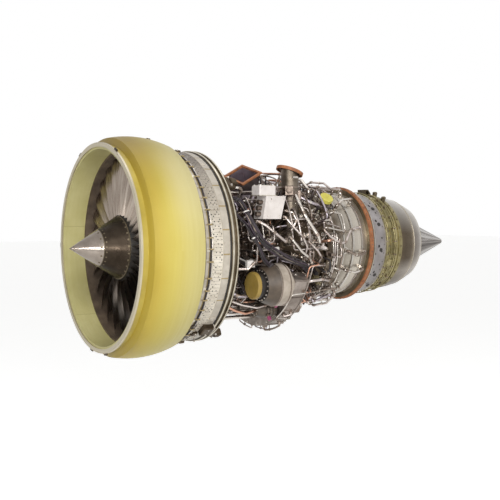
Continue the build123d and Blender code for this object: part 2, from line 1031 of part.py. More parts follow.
# Fire wall behind the bright case, with its orange seal
with BuildPart() as fire_wall:
    fire_wall_inner = turbine_rear_radius - 2 * turbine_wall
    ring(turbine_rear, bulkhead_thickness, fire_wall_inner, bulkhead_radius)
save(fire_wall.part, "fire_wall")

with BuildPart() as fire_seal:
    ring(turbine_rear - seal_lip, seal_length, bulkhead_radius, bulkhead_radius + seal_height)
save(fire_seal.part, "fire_seal")

# Low pressure turbine case with its borescope ports
with BuildPart() as lp_turbine_case:
    turn(
        [
            (bulkhead_rear, fire_wall_inner),
            (bulkhead_rear, lp_turbine_front_radius),
            (lp_turbine_rear, lp_turbine_rear_radius),
            (lp_turbine_rear, lp_turbine_rear_radius - lp_turbine_wall),
            (bulkhead_rear + 2 * lp_turbine_wall, lp_turbine_front_radius - 2 * lp_turbine_wall),
            (bulkhead_rear + lp_turbine_wall, fire_wall_inner),
        ]
    )
    for angle in port_angles:
        post(
            lp_turbine_front + port_offset,
            lp_turbine_rear_radius - 4 * lp_turbine_wall,
            180 - angle,
            lp_turbine_front_radius,
            port_radius,
            mode=Mode.SUBTRACT,
        )
save(lp_turbine_case.part, "lp_turbine_case")

# Rear frame: flanged shell, struts and the hub of the last bearing
with BuildPart() as turbine_frame:
    turn(
        [
            (lp_turbine_rear, lp_turbine_rear_radius - lp_turbine_wall - turbine_frame_wall),
            (lp_turbine_rear, turbine_frame_rim),
            (lp_turbine_rear + turbine_frame_flange, turbine_frame_rim),
            (lp_turbine_rear + turbine_frame_flange, turbine_frame_front_radius),
            (turbine_frame_rear, turbine_frame_rear_radius),
            (turbine_frame_rear, turbine_frame_rear_radius - turbine_frame_wall),
        ]
    )
    ring(
        rear_bearing_station,
        bearing_length,
        rear_bearing_radius,
        rear_bearing_radius + turbine_hub_wall,
    )
    for n in range(turbine_strut_count):
        block(
            rear_bearing_station + bearing_length / 2,
            rear_bearing_radius + turbine_hub_wall / 2,
            (n + 0.5) * 360 / turbine_strut_count,
            bearing_length,
            turbine_strut_width,
            turbine_frame_rear_radius - rear_bearing_radius - turbine_hub_wall / 2,
        )
save(turbine_frame.part, "turbine_frame")

# Exhaust nozzle sheet, open at both ends
with BuildPart() as exhaust_nozzle:
    middle_station = turbine_frame_rear + nozzle_length * nozzle_mid_share
    with BuildSketch(Plane.XZ) as nozzle_section:
        with BuildLine():
            outside, inside = [
                ThreePointArc(
                    (turbine_frame_rear, turbine_frame_rear_radius - inset),
                    (middle_station, nozzle_mid_radius - inset),
                    (nozzle_exit, nozzle_exit_radius - inset),
                )
                for inset in (0, nozzle_wall)
            ]
            Line(outside @ 0, inside @ 0)
            Line(outside @ 1, inside @ 1)
        make_face()
    revolve(nozzle_section.sketch, axis=Axis.X)
save(exhaust_nozzle.part, "exhaust_nozzle")

# Exhaust cone, a hollow sheet on the rear face of the frame hub
plug_front = rear_bearing_station + bearing_length
with BuildPart() as exhaust_cone:
    shoulder_station = plug_front + plug_shoulder_station
    plug_tip = plug_front + plug_length
    turn(
        [
            (plug_front, rear_bearing_radius),
            (plug_front, rear_bearing_radius + turbine_hub_wall),
            (shoulder_station, plug_shoulder),
            (plug_tip - plug_tip_radius / 2, plug_tip_radius),
            (plug_tip, 0),
            (plug_tip - 3 * plug_wall, 0),
            (shoulder_station, plug_shoulder - plug_wall),
        ]
    )
save(exhaust_cone.part, "exhaust_cone")

with BuildPart() as core_shaft:
    core_shaft_rear = core_turbine_station + core_turbine_length
    ring(
        core_front_bearing_station,
        core_shaft_rear - core_front_bearing_station,
        core_shaft_inner,
        core_shaft_outer,
    )
save(core_shaft.part, "core_shaft")

# Compressor rotor: a tapered drum with blade discs that follow the case
core_rotor_rear = core_rotor_front + core_rotor_length
disc_pitch = (core_rotor_length - core_disc_length) / (core_disc_count - 1)


def rotor_tip(station):
    """Tip radius that clears the inside of the compressor case."""
    return compressor_radius(station) - compressor_wall - rotor_tip_clearance


with BuildPart() as compressor_rotor:
    outline = [(core_rotor_front, core_shaft_outer)]
    for n in range(core_disc_count):
        front = core_rotor_front + n * disc_pitch
        rear = front + core_disc_length
        if n > 0:
            outline.append((front, rotor_tip(front) - core_drum_step))
        outline.append((front, rotor_tip(front)))
        outline.append((rear, rotor_tip(rear)))
        if n < core_disc_count - 1:
            outline.append((rear, rotor_tip(rear) - core_drum_step))
    outline.append((core_rotor_rear, core_shaft_outer))
    turn(outline)
save(compressor_rotor.part, "compressor_rotor")

with BuildPart() as core_turbine_rotor:
    core_turbine_tip = combustor_radius - turbine_wall - shroud_thickness - rotor_tip_clearance
    ring(core_turbine_station, core_turbine_length, core_shaft_outer, core_turbine_tip)
save(core_turbine_rotor.part, "core_turbine_rotor")

with BuildPart() as lp_turbine_rotor:
    lp_tip = lp_turbine_rear_radius - lp_turbine_wall - turbine_frame_wall - 3 * rotor_tip_clearance
    second_disc = lp_turbine_station + lp_disc_length + lp_disc_gap
    turn(
        [
            (lp_turbine_station, lp_shaft_radius),
            (lp_turbine_station, lp_tip),
            (lp_turbine_station + lp_disc_length, lp_tip),
            (lp_turbine_station + lp_disc_length, lp_disc_web),
            (second_disc, lp_disc_web),
            (second_disc, lp_tip),
            (second_disc + lp_disc_length, lp_tip),
            (second_disc + lp_disc_length, lp_shaft_radius),
        ]
    )
save(lp_turbine_rotor.part, "lp_turbine_rotor")

# Unison ring that turns the stator vanes, with a lug that its actuator pushes
ring_inner = compressor_radius(ring_station) + split_flange_width + ring_gap
ring_outer = ring_inner + ring_height
with BuildPart() as unison_ring:
    ring(ring_station, ring_length, ring_inner, ring_outer)
    block(
        ring_station + ring_length / 2,
        ring_outer - root_overlap,
        actuator_angle,
        ring_length,
        lug_width,
        lug_height,
    )
save(unison_ring.part, "unison_ring")


def arc_housing(station, length, inner, outer, start_angle, end_angle):
    """A housing between two arcs about the centreline."""
    with BuildSketch(Plane.YZ.offset(station)) as band:
        with BuildLine():
            outer_arc = CenterArc((0, 0), outer, start_angle, end_angle - start_angle)
            inner_arc = CenterArc((0, 0), inner, start_angle, end_angle - start_angle)
            Line(outer_arc @ 0, inner_arc @ 0)
            Line(outer_arc @ 1, inner_arc @ 1)
        make_face()
    extrude(band.sketch, amount=length)


# Gearbox: a curved housing under the core, with pads for its accessories
with BuildPart() as gearbox:
    arc_housing(
        gearbox_station,
        gearbox_length,
        gearbox_inner,
        gearbox_outer,
        gearbox_start_angle,
        gearbox_end_angle,
    )
    axial_disc(
        gearbox_station,
        270,
        drive_depth,
        shaft_seat,
        cross_shaft_radius + running_clearance,
        mode=Mode.SUBTRACT,
    )
save(gearbox.part, "gearbox")

# Transfer gearbox behind the lowest strut
with BuildPart() as transfer_gearbox:
    with BuildSketch(Plane.YZ.offset(frame_rear)) as transfer_outline:
        with Locations((0, -drive_depth)):
            RectangleRounded(transfer_width, transfer_height, transfer_corner)
    extrude(transfer_outline.sketch, amount=transfer_length)
    axial_disc(
        frame_rear + transfer_length - shaft_seat,
        270,
        drive_depth,
        shaft_seat,
        cross_shaft_radius + running_clearance,
        mode=Mode.SUBTRACT,
    )
save(transfer_gearbox.part, "transfer_gearbox")

with BuildPart() as radial_shaft:
    post(
        radial_shaft_station,
        radial_shaft_top - shaft_seat / 2,
        -90,
        drive_depth - radial_shaft_top + shaft_seat,
        radial_shaft_radius,
    )
save(radial_shaft.part, "radial_shaft")

with BuildPart() as gearbox_shaft:
    shaft_front = frame_rear + transfer_length - shaft_seat + shaft_end_gap
    axial_disc(
        shaft_front,
        270,
        drive_depth,
        gearbox_station + shaft_seat - shaft_end_gap - shaft_front,
        cross_shaft_radius,
    )
save(gearbox_shaft.part, "gearbox_shaft")

# Starter on the front face of the gearbox, with a blanking cover over its mouth
starter_y = starter_centre * math.cos(math.radians(starter_angle))
starter_z = starter_centre * math.sin(math.radians(starter_angle))


def turn_beside(points, axis_y, axis_z, mode=Mode.ADD):
    """Turn a (station, radius) outline about a line parallel to the centreline."""
    place = Plane(origin=(0, axis_y, axis_z), x_dir=(1, 0, 0), z_dir=(0, -1, 0))
    with BuildSketch(place) as section:
        with BuildLine():
            Polyline(*points, close=True)
        make_face()
    revolve(section.sketch, axis=Axis((0, axis_y, axis_z), (1, 0, 0)), mode=mode)


with BuildPart() as starter:
    barrel_front = starter_front - starter_barrel_length
    turn_beside(
        [
            (barrel_front, 0),
            (barrel_front, starter_barrel_radius),
            (starter_front, starter_barrel_radius),
            (starter_front, starter_front_radius),
            (starter_front + starter_cone_length, starter_rear_radius),
            (gearbox_station - starter_neck_length - starter_shoulder_length, starter_rear_radius),
            (gearbox_station - starter_neck_length, starter_neck_radius),
            (gearbox_station, starter_neck_radius),
            (gearbox_station, 0),
        ],
        starter_y,
        starter_z,
    )
save(starter.part, "starter")

with BuildPart() as starter_cover:
    turn_beside(
        [
            (barrel_front - cover_thickness, 0),
            (barrel_front - cover_thickness, cover_radius - cover_chamfer),
            (barrel_front - cover_thickness + cover_chamfer, cover_radius),
            (barrel_front, cover_radius),
            (barrel_front, 0),
        ],
        starter_y,
        starter_z,
    )
save(starter_cover.part, "starter_cover")

gearbox_middle = (gearbox_inner + gearbox_outer) / 2


def accessory(angle, length, radius):
    """A flanged round accessory on the front face of the gearbox."""
    a = math.radians(angle)
    front = gearbox_station - length
    waist = radius - accessory_waist
    turn_beside(
        [
            (front, 0),
            (front, waist),
            (front + length * accessory_taper, radius),
            (gearbox_station - accessory_waist, radius),
            (gearbox_station, waist),
            (gearbox_station, 0),
        ],
        gearbox_middle * math.cos(a),
        gearbox_middle * math.sin(a),
    )


with BuildPart() as hydraulic_pump:
    accessory(pump_angle, pump_length, pump_radius)
save(hydraulic_pump.part, "hydraulic_pump")

with BuildPart() as alternator:
    accessory(alternator_angle, alternator_length, alternator_radius)
save(alternator.part, "alternator")

# Fuel control on the rear face of the gearbox
gearbox_rear = gearbox_station + gearbox_length
with BuildPart() as fuel_control:
    with BuildSketch(Plane.YZ.offset(gearbox_rear)) as control_foot:
        with Locations((0, -gearbox_middle)):
            RectangleRounded(control_width, control_height, control_corner)
    extrude(control_foot.sketch, amount=control_length)
    with BuildSketch(Plane.YZ.offset(gearbox_rear + control_length)) as control_end:
        with Locations((-control_width / 4, -gearbox_middle)):
            Circle(control_motor_radius)
    extrude(control_end.sketch, amount=control_motor_length)
save(fuel_control.part, "fuel_control")

# Oil tank curved around the right side of the core, on two straps from the case
tank_rear = oil_tank_station + oil_tank_length
with BuildPart() as oil_tank:
    arc_housing(
        oil_tank_station,
        oil_tank_length,
        oil_tank_inner,
        oil_tank_outer,
        oil_tank_start_angle,
        oil_tank_end_angle,
    )
    post(
        oil_tank_station + oil_tank_length / 2,
        oil_tank_outer - weld_depth,
        oil_cap_angle,
        oil_neck_height + weld_depth,
        oil_neck_radius,
    )
save(oil_tank.part, "oil_tank")

with BuildPart() as oil_cap:
    post(
        oil_tank_station + oil_tank_length / 2,
        oil_tank_outer + oil_neck_height + cap_gap,
        oil_cap_angle,
        oil_cap_height,
        oil_cap_radius,
    )
    block(
        oil_tank_station + oil_tank_length / 2,
        oil_tank_outer + oil_neck_height + cap_gap + oil_cap_height,
        oil_cap_angle,
        oil_grip_length,
        oil_grip_size,
        oil_grip_size,
    )
save(oil_cap.part, "oil_cap")


# Electronic box on the left side with the ignition exciter standing on it
box_back = box_front + box_depth
box_top = box_bottom + box_height
with BuildPart() as control_box:
    with BuildSketch(Plane.XZ.offset(-box_back)) as box_side:
        with BuildLine():
            Polyline(
                (box_foot_station, box_bottom),
                (box_station, box_top),
                (box_station + box_length, box_top),
                (box_foot_station + box_foot_length, box_bottom),
                close=True,
            )
        make_face()
    extrude(box_side.sketch, amount=box_depth)
save(control_box.part, "control_box")

with BuildPart() as ignition_exciter:
    with BuildSketch(Plane.XY.offset(box_top)) as exciter_plan:
        with Locations((exciter_station + exciter_length / 2, box_front + exciter_depth / 2)):
            RectangleRounded(exciter_length, exciter_depth, exciter_corner)
    extrude(exciter_plan.sketch, amount=exciter_height)
save(ignition_exciter.part, "ignition_exciter")

# Bleed duct from the top of the core to a rectangular mouth with a rubber seal
mouth_rise = math.radians(duct_rise_angle)
mouth_lean = math.radians(duct_lean_angle)
mouth_plane = Plane(
    origin=(duct_mouth_station, duct_mouth_y, duct_mouth_z),
    x_dir=(math.cos(mouth_rise), 0, math.sin(mouth_rise)),
    z_dir=(
        -math.cos(mouth_lean) * math.sin(mouth_rise),
        -math.sin(mouth_lean) * math.cos(mouth_rise),
        math.cos(mouth_lean) * math.cos(mouth_rise),
    ),
)
throat_plane = Plane(
    origin=(duct_throat_station, duct_throat_y, duct_throat_z), x_dir=(1, 0, 0), z_dir=(0, 0, 1)
)


def core_envelope(mode):
    """The outer surface of the core casings, as a solid for trimming what stands on them."""
    turn(
        [
            (frame_rear, 0),
            (frame_rear, cowl_radius),
            (frame_rear + compressor_entry_length, compressor_front_radius),
            (compressor_rear, compressor_rear_radius),
            (compressor_rear + combustor_ramp_length, combustor_radius),
            (combustor_rear, combustor_radius),
            (turbine_rear, turbine_rear_radius),
            (turbine_rear, 0),
        ],
        mode=mode,
    )


def duct_rectangle(plane, length, width, inset):
    with BuildSketch(plane) as section:
        Rectangle(length - 2 * inset, width - 2 * inset)
    return section.sketch


with BuildPart() as bleed_duct:
    for inset, floor, mode in ((0, 0, Mode.ADD), (duct_wall, duct_floor, Mode.SUBTRACT)):
        throat = duct_rectangle(throat_plane, duct_throat_length, duct_throat_width, inset)
        mouth = duct_rectangle(mouth_plane, duct_mouth_length, duct_mouth_width, inset)
        loft([throat, mouth], ruled=True, mode=mode)
        extrude(throat, amount=-(duct_throat_z - floor), mode=mode)
    core_envelope(Mode.SUBTRACT)
save(bleed_duct.part, "bleed_duct")

with BuildPart() as duct_seal:
    with BuildSketch(mouth_plane) as seal_outline:
        Rectangle(duct_mouth_length + 2 * duct_seal_width, duct_mouth_width + 2 * duct_seal_width)
        Rectangle(
            duct_mouth_length - 2 * duct_wall,
            duct_mouth_width - 2 * duct_wall,
            mode=Mode.SUBTRACT,
        )
    extrude(seal_outline.sketch, amount=duct_seal_height)
save(duct_seal.part, "duct_seal")


# Bleed valve: an upright tube with a leaning flange, and a butterfly disc on a cross pin
def upright(bottom, height, radius, mode=Mode.ADD):
    with BuildSketch(Plane((valve_station, valve_y, bottom))) as disc:
        Circle(radius)
    extrude(disc.sketch, amount=height, mode=mode)


lean = math.radians(valve_lean_angle)
flange_plane = Plane(
    origin=(valve_station, valve_y, valve_top),
    x_dir=(math.cos(lean), 0, -math.sin(lean)),
    z_dir=(math.sin(lean), 0, math.cos(lean)),
)


def leaning_disc(start, height, radius, mode=Mode.ADD):
    """A disc square to the leaning flange, at a distance from its face."""
    with BuildSketch(flange_plane.offset(start)) as disc:
        Circle(radius)
    extrude(disc.sketch, amount=height, mode=mode)


pin_height = valve_top - valve_disc_depth


def cross_pin(start, end, radius, mode=Mode.ADD):
    """A pin along Y through the valve, between two distances from its centre."""
    place = Plane(origin=(valve_station, valve_y + start, pin_height), x_dir=(1, 0, 0), z_dir=(0, 1, 0))
    with BuildSketch(place) as disc:
        Circle(radius)
    extrude(disc.sketch, amount=end - start, mode=mode)


valve_radius = valve_bore + valve_wall
valve_reach = valve_flange_radius * math.sin(lean) + valve_flange_height
with BuildPart() as bleed_valve:
    upright(0, valve_top + valve_reach, valve_radius)
    leaning_disc(0, 2 * valve_reach, 2 * valve_radius, mode=Mode.SUBTRACT)
    leaning_disc(-valve_flange_height, valve_flange_height, valve_flange_radius)
    upright(valve_floor, valve_top + valve_reach - valve_floor, valve_bore, mode=Mode.SUBTRACT)
    cross_pin(
        -2 * valve_radius,
        2 * valve_radius,
        valve_pin_radius + running_clearance,
        mode=Mode.SUBTRACT,
    )
    core_envelope(Mode.SUBTRACT)
save(bleed_valve.part, "bleed_valve")

with BuildPart() as valve_disc:
    pin_end = valve_radius + valve_pin_gap
    upright(
        pin_height - valve_disc_thickness / 2, valve_disc_thickness, valve_bore - valve_disc_gap
    )
    cross_pin(-pin_end, valve_radius, valve_pin_radius)
    lever_place = Plane(
        origin=(valve_station, valve_y - pin_end, pin_height), x_dir=(1, 0, 0), z_dir=(0, -1, 0)
    )
    with BuildSketch(lever_place) as lever_outline:
        SlotCenterPoint((0, 0), (-valve_lever / 2, 0), 2.4 * valve_pin_radius)
    extrude(lever_outline.sketch, amount=valve_pin_radius)
save(valve_disc.part, "valve_disc")

with BuildPart() as valve_clamp:
    clamp_start = -(valve_flange_height + clamp_width) / 2
    leaning_disc(clamp_start, clamp_width, valve_flange_radius + clamp_wall)
    leaning_disc(clamp_start, clamp_width, valve_flange_radius, mode=Mode.SUBTRACT)
save(valve_clamp.part, "valve_clamp")

# Blanking cover on a boss of the combustor case
with BuildPart() as port_cover:
    post(
        cover_station,
        turbine_rear_radius + cover_boss_height,
        cover_angle,
        port_cover_height,
        port_cover_radius,
    )
save(port_cover.part, "port_cover")


# Mount lugs with a cross hole for a pin
def mount_lug(front, length, width, bottom, top, hole_radius):
    with BuildSketch(Plane.XZ.offset(-width / 2)) as side:
        with BuildLine():
            Polyline(
                (front, bottom),
                (front, top),
                (front + length * 0.6, top),
                (front + length, top - length * 0.5),
                (front + length, bottom),
                close=True,
            )
        make_face()
        with Locations((front + length * 0.45, top - 1.8 * hole_radius)):
            Circle(hole_radius, mode=Mode.SUBTRACT)
    extrude(side.sketch, amount=width)


with BuildPart() as front_mount:
    mount_lug(
        frame_rear,
        front_mount_length,
        front_mount_width,
        compressor_front_radius - mount_depth,
        front_mount_top,
        front_mount_hole,
    )
    core_envelope(Mode.SUBTRACT)
save(front_mount.part, "front_mount")

with BuildPart() as rear_mount:
    mount_lug(
        rear_mount_station,
        rear_mount_length,
        rear_mount_width,
        turbine_frame_rear_radius - mount_depth,
        rear_mount_top,
        rear_mount_hole,
    )
    turn(
        [
            (lp_turbine_rear, 0),
            (lp_turbine_rear, turbine_frame_front_radius),
            (lp_turbine_rear + turbine_frame_flange, turbine_frame_front_radius),
            (turbine_frame_rear, turbine_frame_rear_radius),
            (turbine_frame_rear, 0),
        ],
        mode=Mode.SUBTRACT,
    )
save(rear_mount.part, "rear_mount")

# Actuator that pushes the unison ring round by its lug
rod_line_radius = ring_outer - root_overlap + lug_height / 2
rod_station = ring_station + ring_length / 2


def push_plane(distance):
    """A plane across the rod's line, at a distance from the lug's centre."""
    a = math.radians(actuator_angle)
    along = (0, -math.sin(a), math.cos(a))
    return Plane(
        origin=(
            rod_station,
            rod_line_radius * math.cos(a) + distance * along[1],
            rod_line_radius * math.sin(a) + distance * along[2],
        ),
        x_dir=(1, 0, 0),
        z_dir=along,
    )


def push_rod(start, length, radius, mode=Mode.ADD):
    with BuildSketch(push_plane(start)) as disc:
        Circle(radius)
    extrude(disc.sketch, amount=length, mode=mode)


with BuildPart() as stator_actuator:
    push_rod(actuator_start, actuator_length, actuator_radius)
    push_rod(
        actuator_start,
        actuator_length - actuator_end_wall,
        rod_radius + running_clearance,
        mode=Mode.SUBTRACT,
    )
save(stator_actuator.part, "stator_actuator")

with BuildPart() as actuator_rod:
    push_rod(lug_width / 2 + rod_gap, rod_length, rod_radius)
save(actuator_rod.part, "actuator_rod")

# Brackets, links and rollers that carry the pieces around the core


def bracket(station, angle, width, radius):
    """A bracket from the core out to a round surface that it meets with its corners."""
    height = math.sqrt(radius**2 - (width / 2) ** 2) - bracket_root
    block(station, bracket_root, angle, bracket_size, width, height)


with BuildPart() as core_brackets:
    for angle in roller_angles:
        bracket(rod_station, angle, ring_length, ring_inner - roller_gap)
    for angle in gearbox_link_angles:
        bracket(gearbox_station + gearbox_length - bracket_size, angle, 2 * bracket_size, gearbox_inner)
    for station in (oil_tank_station + tank_strap_offset, tank_rear - tank_strap_offset):
        bracket(station, tank_strap_angle, 2 * bracket_size, oil_tank_inner)
    for station in (box_foot_station + box_arm_offset, box_foot_station + box_foot_length - bracket_size):
        with BuildSketch(Plane.XZ.offset(-box_back)) as arm:
            with Locations((station, box_bottom + bracket_size)):
                Rectangle(bracket_size, bracket_size)
        extrude(arm.sketch, amount=box_back)
    post(
        cover_station,
        turbine_rear_radius - bracket_size,
        cover_angle,
        cover_boss_height + bracket_size,
        cover_boss_radius,
    )
    block(
        rod_station + actuator_radius + bracket_size / 2 - actuator_grip,
        bracket_root,
        actuator_angle + actuator_arm_angle,
        bracket_size,
        bracket_size,
        rod_line_radius + bracket_size - bracket_root,
    )
    push_rod(actuator_start, actuator_length, actuator_radius, mode=Mode.SUBTRACT)
    core_envelope(Mode.SUBTRACT)
save(core_brackets.part, "core_brackets")


# Pipes around the core: tubes with rounded bends, most of whose ends turn down to the casings
def route_point(run, angle, height):
    """A point of a route, from its run along the casings, its angle and its height."""
    if run < 1:
        station = frame_rear + run * compressor_length
    elif run < 2:
        station = compressor_rear + (run - 1) * combustor_length
    else:
        station = combustor_rear + (run - 2) * turbine_length
    radius = combustor_radius + height
    a = math.radians(angle)
    return (station, radius * math.cos(a), radius * math.sin(a))


def tube(radius, start_on_core, end_on_core, points):
    """A tube along a route. An end on the core gets a foot, and any other end is trimmed by its unit."""
    corners = [route_point(*point) for point in points]
    if start_on_core:
        corners.insert(0, route_point(points[0][0], points[0][1], -pipe_foot_depth))
    if end_on_core:
        corners.append(route_point(points[-1][0], points[-1][1], -pipe_foot_depth))
    with BuildPart() as piece:
        with BuildLine() as route:
            FilletPolyline(*corners, radius=bend_radii * radius)
        with BuildSketch(Plane(origin=route.line @ 0, z_dir=route.line % 0)) as section:
            Circle(radius)
        sweep(section.sketch, path=route.line)
        core_envelope(Mode.SUBTRACT)
        if not (start_on_core and end_on_core):
            for anchor in (gearbox.part, fuel_control.part, hydraulic_pump.part):
                add(anchor, mode=Mode.SUBTRACT)
            upright(0, valve_top + valve_reach, valve_radius, mode=Mode.SUBTRACT)
    return piece.part


core_pipes = Compound(
    children=[tube(radius, start, end, points) for radius, start, end, *points in pipe_routes]
)
save(core_pipes, "core_pipes")
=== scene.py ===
"""Looks of a turbofan jet engine without its nacelle: materials, pipes, harnesses, bolts and lights.

X runs aft, +Z is up and -Y is the left side. Sizes are in millimetres unless a comment says
otherwise, and turn into metres where a piece is made. A place around the engine is given as
(station, angle, radius), with the angle in degrees from the left side towards the top. Colours
are red, green and blue from 0 to 255.
"""
import math
import random

import bpy
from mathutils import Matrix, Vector
from mathutils.bvhtree import BVHTree


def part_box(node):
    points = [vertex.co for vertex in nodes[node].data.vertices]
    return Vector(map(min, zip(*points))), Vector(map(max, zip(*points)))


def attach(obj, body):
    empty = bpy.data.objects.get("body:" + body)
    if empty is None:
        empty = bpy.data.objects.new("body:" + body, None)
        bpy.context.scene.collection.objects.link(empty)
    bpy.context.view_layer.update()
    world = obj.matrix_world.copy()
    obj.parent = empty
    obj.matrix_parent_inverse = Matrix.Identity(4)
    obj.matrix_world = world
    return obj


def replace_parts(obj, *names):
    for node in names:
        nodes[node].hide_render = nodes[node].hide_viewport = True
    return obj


MM = 0.001
TURN = 2 * math.pi
TOP = math.pi / 2
AFT = Vector((1, 0, 0))
UP = Vector((0, 0, 1))
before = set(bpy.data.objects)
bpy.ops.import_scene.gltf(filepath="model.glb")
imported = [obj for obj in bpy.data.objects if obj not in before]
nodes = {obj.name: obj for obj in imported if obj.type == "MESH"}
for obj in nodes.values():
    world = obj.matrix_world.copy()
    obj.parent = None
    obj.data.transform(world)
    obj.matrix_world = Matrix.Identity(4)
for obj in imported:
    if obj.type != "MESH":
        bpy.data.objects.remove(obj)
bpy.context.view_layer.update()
chance = random.Random(28)


def ends(node):
    """Front and rear station of a CAD node."""
    low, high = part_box(node)
    return low.x / MM, high.x / MM


CASE_REAR = ends("fan_case")[1]
FRAME_FRONT, FRAME_REAR = ends("fan_frame")
COMBUSTOR_FRONT, COMBUSTOR_REAR = ends("combustor_case")
TURBINE_REAR = ends("turbine_case")[1]
LP_REAR = ends("lp_turbine_case")[1]
NOZZLE_FRONT, NOZZLE_REAR = ends("exhaust_nozzle")
RING_STATION = ends("unison_ring")[0]
CASE_RADIUS = 600
PANELS = (541, 587)
CORE_LEVEL = 345
# Metres: where the bleed valve's axis stands, and how far from it the pipes that leave it start
VALVE_PLACE = (COMBUSTOR_FRONT * MM + 0.079, -0.25)
VALVE_CLEARANCE = 0.056


# Shader building

def srgb(red, green, blue):
    """A colour written as 0 to 255, turned into the renderer's linear values."""
    values = [part / 255 for part in (red, green, blue)]
    return (*(v / 12.92 if v <= 0.04045 else ((v + 0.055) / 1.055) ** 2.4 for v in values), 1.0)


class Nodes:
    """A node tree under construction, where a tuple fed to a socket is a colour."""

    def __init__(self, tree):
        self.tree = tree

    def feed(self, socket, value):
        """Link an output to a socket, or set its value."""
        if isinstance(value, bpy.types.NodeSocket):
            self.tree.links.new(value, socket)
        else:
            socket.default_value = srgb(*value) if isinstance(value, tuple) else value

    def node(self, kind, inputs=(), **settings):
        """A new node with its inputs fed by name or number."""
        made = self.tree.nodes.new("ShaderNode" + kind)
        for key, value in settings.items():
            setattr(made, key, value)
        for key, value in dict(inputs).items():
            self.feed(made.inputs[key], value)
        return made

    def maths(self, operation, *values):
        return self.node("Math", enumerate(values), operation=operation).outputs[0]

    def times(self, one, other):
        return self.maths("MULTIPLY", one, other)

    def apart(self, one, other):
        """How far two values are from each other."""
        return self.maths("ABSOLUTE", self.maths("SUBTRACT", one, other))

    def level(self, factor, low, high, to_low=0.0, to_high=1.0):
        """Stretch a value from one range to another, held at both ends."""
        return self.node("MapRange", {"Value": factor, "From Min": low, "From Max": high, "To Min": to_low,
                                      "To Max": to_high}).outputs["Result"]

    def seen(self):
        """1 for what the camera sees, also in a mirror or through glass."""
        light = self.node("LightPath").outputs
        mirrored = self.maths("MAXIMUM", light["Is Glossy Ray"], light["Is Transmission Ray"])
        return self.maths("MAXIMUM", light["Is Camera Ray"], mirrored)


class Shader(Nodes):
    """One material under construction."""

    def __init__(self, name):
        self.material = bpy.data.materials.new(name)
        self.material.use_nodes = True
        super().__init__(self.material.node_tree)
        self.surface = self.tree.nodes["Principled BSDF"]
        self.bumps = None

    def place(self):
        return self.node("TexCoord").outputs["Object"]

    def split(self):
        """Station in metres, angle in radians and radius in metres, from the piece's own place."""
        xyz = self.node("SeparateXYZ", {"Vector": self.place()}).outputs
        squares = self.maths("ADD", self.maths("POWER", xyz["Y"], 2.0), self.maths("POWER", xyz["Z"], 2.0))
        return xyz["X"], self.maths("ARCTAN2", xyz["Z"], xyz["Y"]), self.maths("SQRT", squares)

    def unrolled(self, along, around, across=0.0):
        """A texture vector on the unrolled cylinder with a scale for each direction."""
        parts = zip("XYZ", self.split(), (along, around, across))
        inputs = {axis: self.times(part, scale) for axis, part, scale in parts}
        return self.node("CombineXYZ", inputs).outputs[0]

    def noise(self, scale, detail=3.0, vector=None, rough=0.55):
        return self.node("TexNoise", {"Vector": vector or self.place(), "Scale": scale, "Detail": detail,
                                      "Roughness": rough}).outputs["Fac"]

    def streaks(self, scales, detail=4.0, rough=0.6):
        """Noise on the unrolled cylinder, stretched by its scales."""
        return self.noise(1.0, detail, self.unrolled(*scales), rough)

    def jitter(self, value, noise, amount):
        """A value moved up and down by a noise."""
        return self.maths("ADD", value, self.times(self.maths("SUBTRACT", noise, 0.5), amount))

    def spread(self, noise, low, high):
        """A noise's usual range, turned into another range."""
        return self.level(noise, 0.3, 0.7, low, high)

    def ramp(self, factor, *stops):
        """A colour ramp of (place, colour) stops."""
        made = self.node("ValToRGB", {"Fac": factor})
        band = made.color_ramp
        while len(band.elements) < len(stops):
            band.elements.new(0.5)
        for element, (place, colour) in zip(band.elements, stops):
            element.position = place
            element.color = srgb(*colour)
        return made.outputs["Color"]

    def between(self, noise, dark, light, low=0.3, high=0.7):
        """A colour between two, by a noise stretched from low to high."""
        return self.ramp(self.level(noise, low, high), (0.0, dark), (1.0, light))

    def mix(self, factor, one, other):
        return self.node("Mix", {0: factor, 6: one, 7: other}, data_type="RGBA").outputs[2]

    def layers(self, colour, *layers):
        """(share, colour) layers laid over a colour, one after another."""
        for share, shade in layers:
            colour = self.mix(share, colour, shade)
        return colour

    def bump(self, height, strength, distance):
        """Relief over the reliefs before it, with its depth in mm."""
        made = self.node("Bump", {"Height": height, "Strength": strength, "Distance": distance * MM})
        if self.bumps:
            self.feed(made.inputs["Normal"], self.bumps)
        self.bumps = made.outputs["Normal"]

    def finish(self, colour, metallic=0.0, roughness=0.5, **others):
        values = {"Base Color": colour, "Metallic": metallic, "Roughness": roughness, **others}
        if self.bumps:
            values["Normal"] = self.bumps
        for key, value in values.items():
            self.feed(self.surface.inputs[key.replace("_", " ")], value)
        return self.material


def dots(s, pitch, count, size, start=0.0):
    """1 inside each hole of a grid of holes around a barrel: pitch in mm, count around."""
    station, angle, radius = s.split()
    along = s.maths("DIVIDE", s.maths("SUBTRACT", station, start * MM), pitch * MM)
    arc = s.times(radius, TURN / count / MM)
    squares = []
    for place, width in ((along, pitch), (s.times(angle, count / TURN), arc)):
        off = s.times(s.maths("SUBTRACT", s.maths("FRACT", place), 0.5), width)
        squares.append(s.maths("POWER", off, 2.0))
    return s.level(s.maths("SQRT", s.maths("ADD", *squares)), size, size * 1.25, 1.0, 0.0)


def seams(s, count, shift, near, far):
    """1 on seams that run along the engine at even angles."""
    share = s.maths("ADD", s.times(s.split()[1], count / TURN), shift)
    return s.level(s.apart(s.maths("FRACT", share), 0.5), near, far, 1.0, 0.0)


# Materials

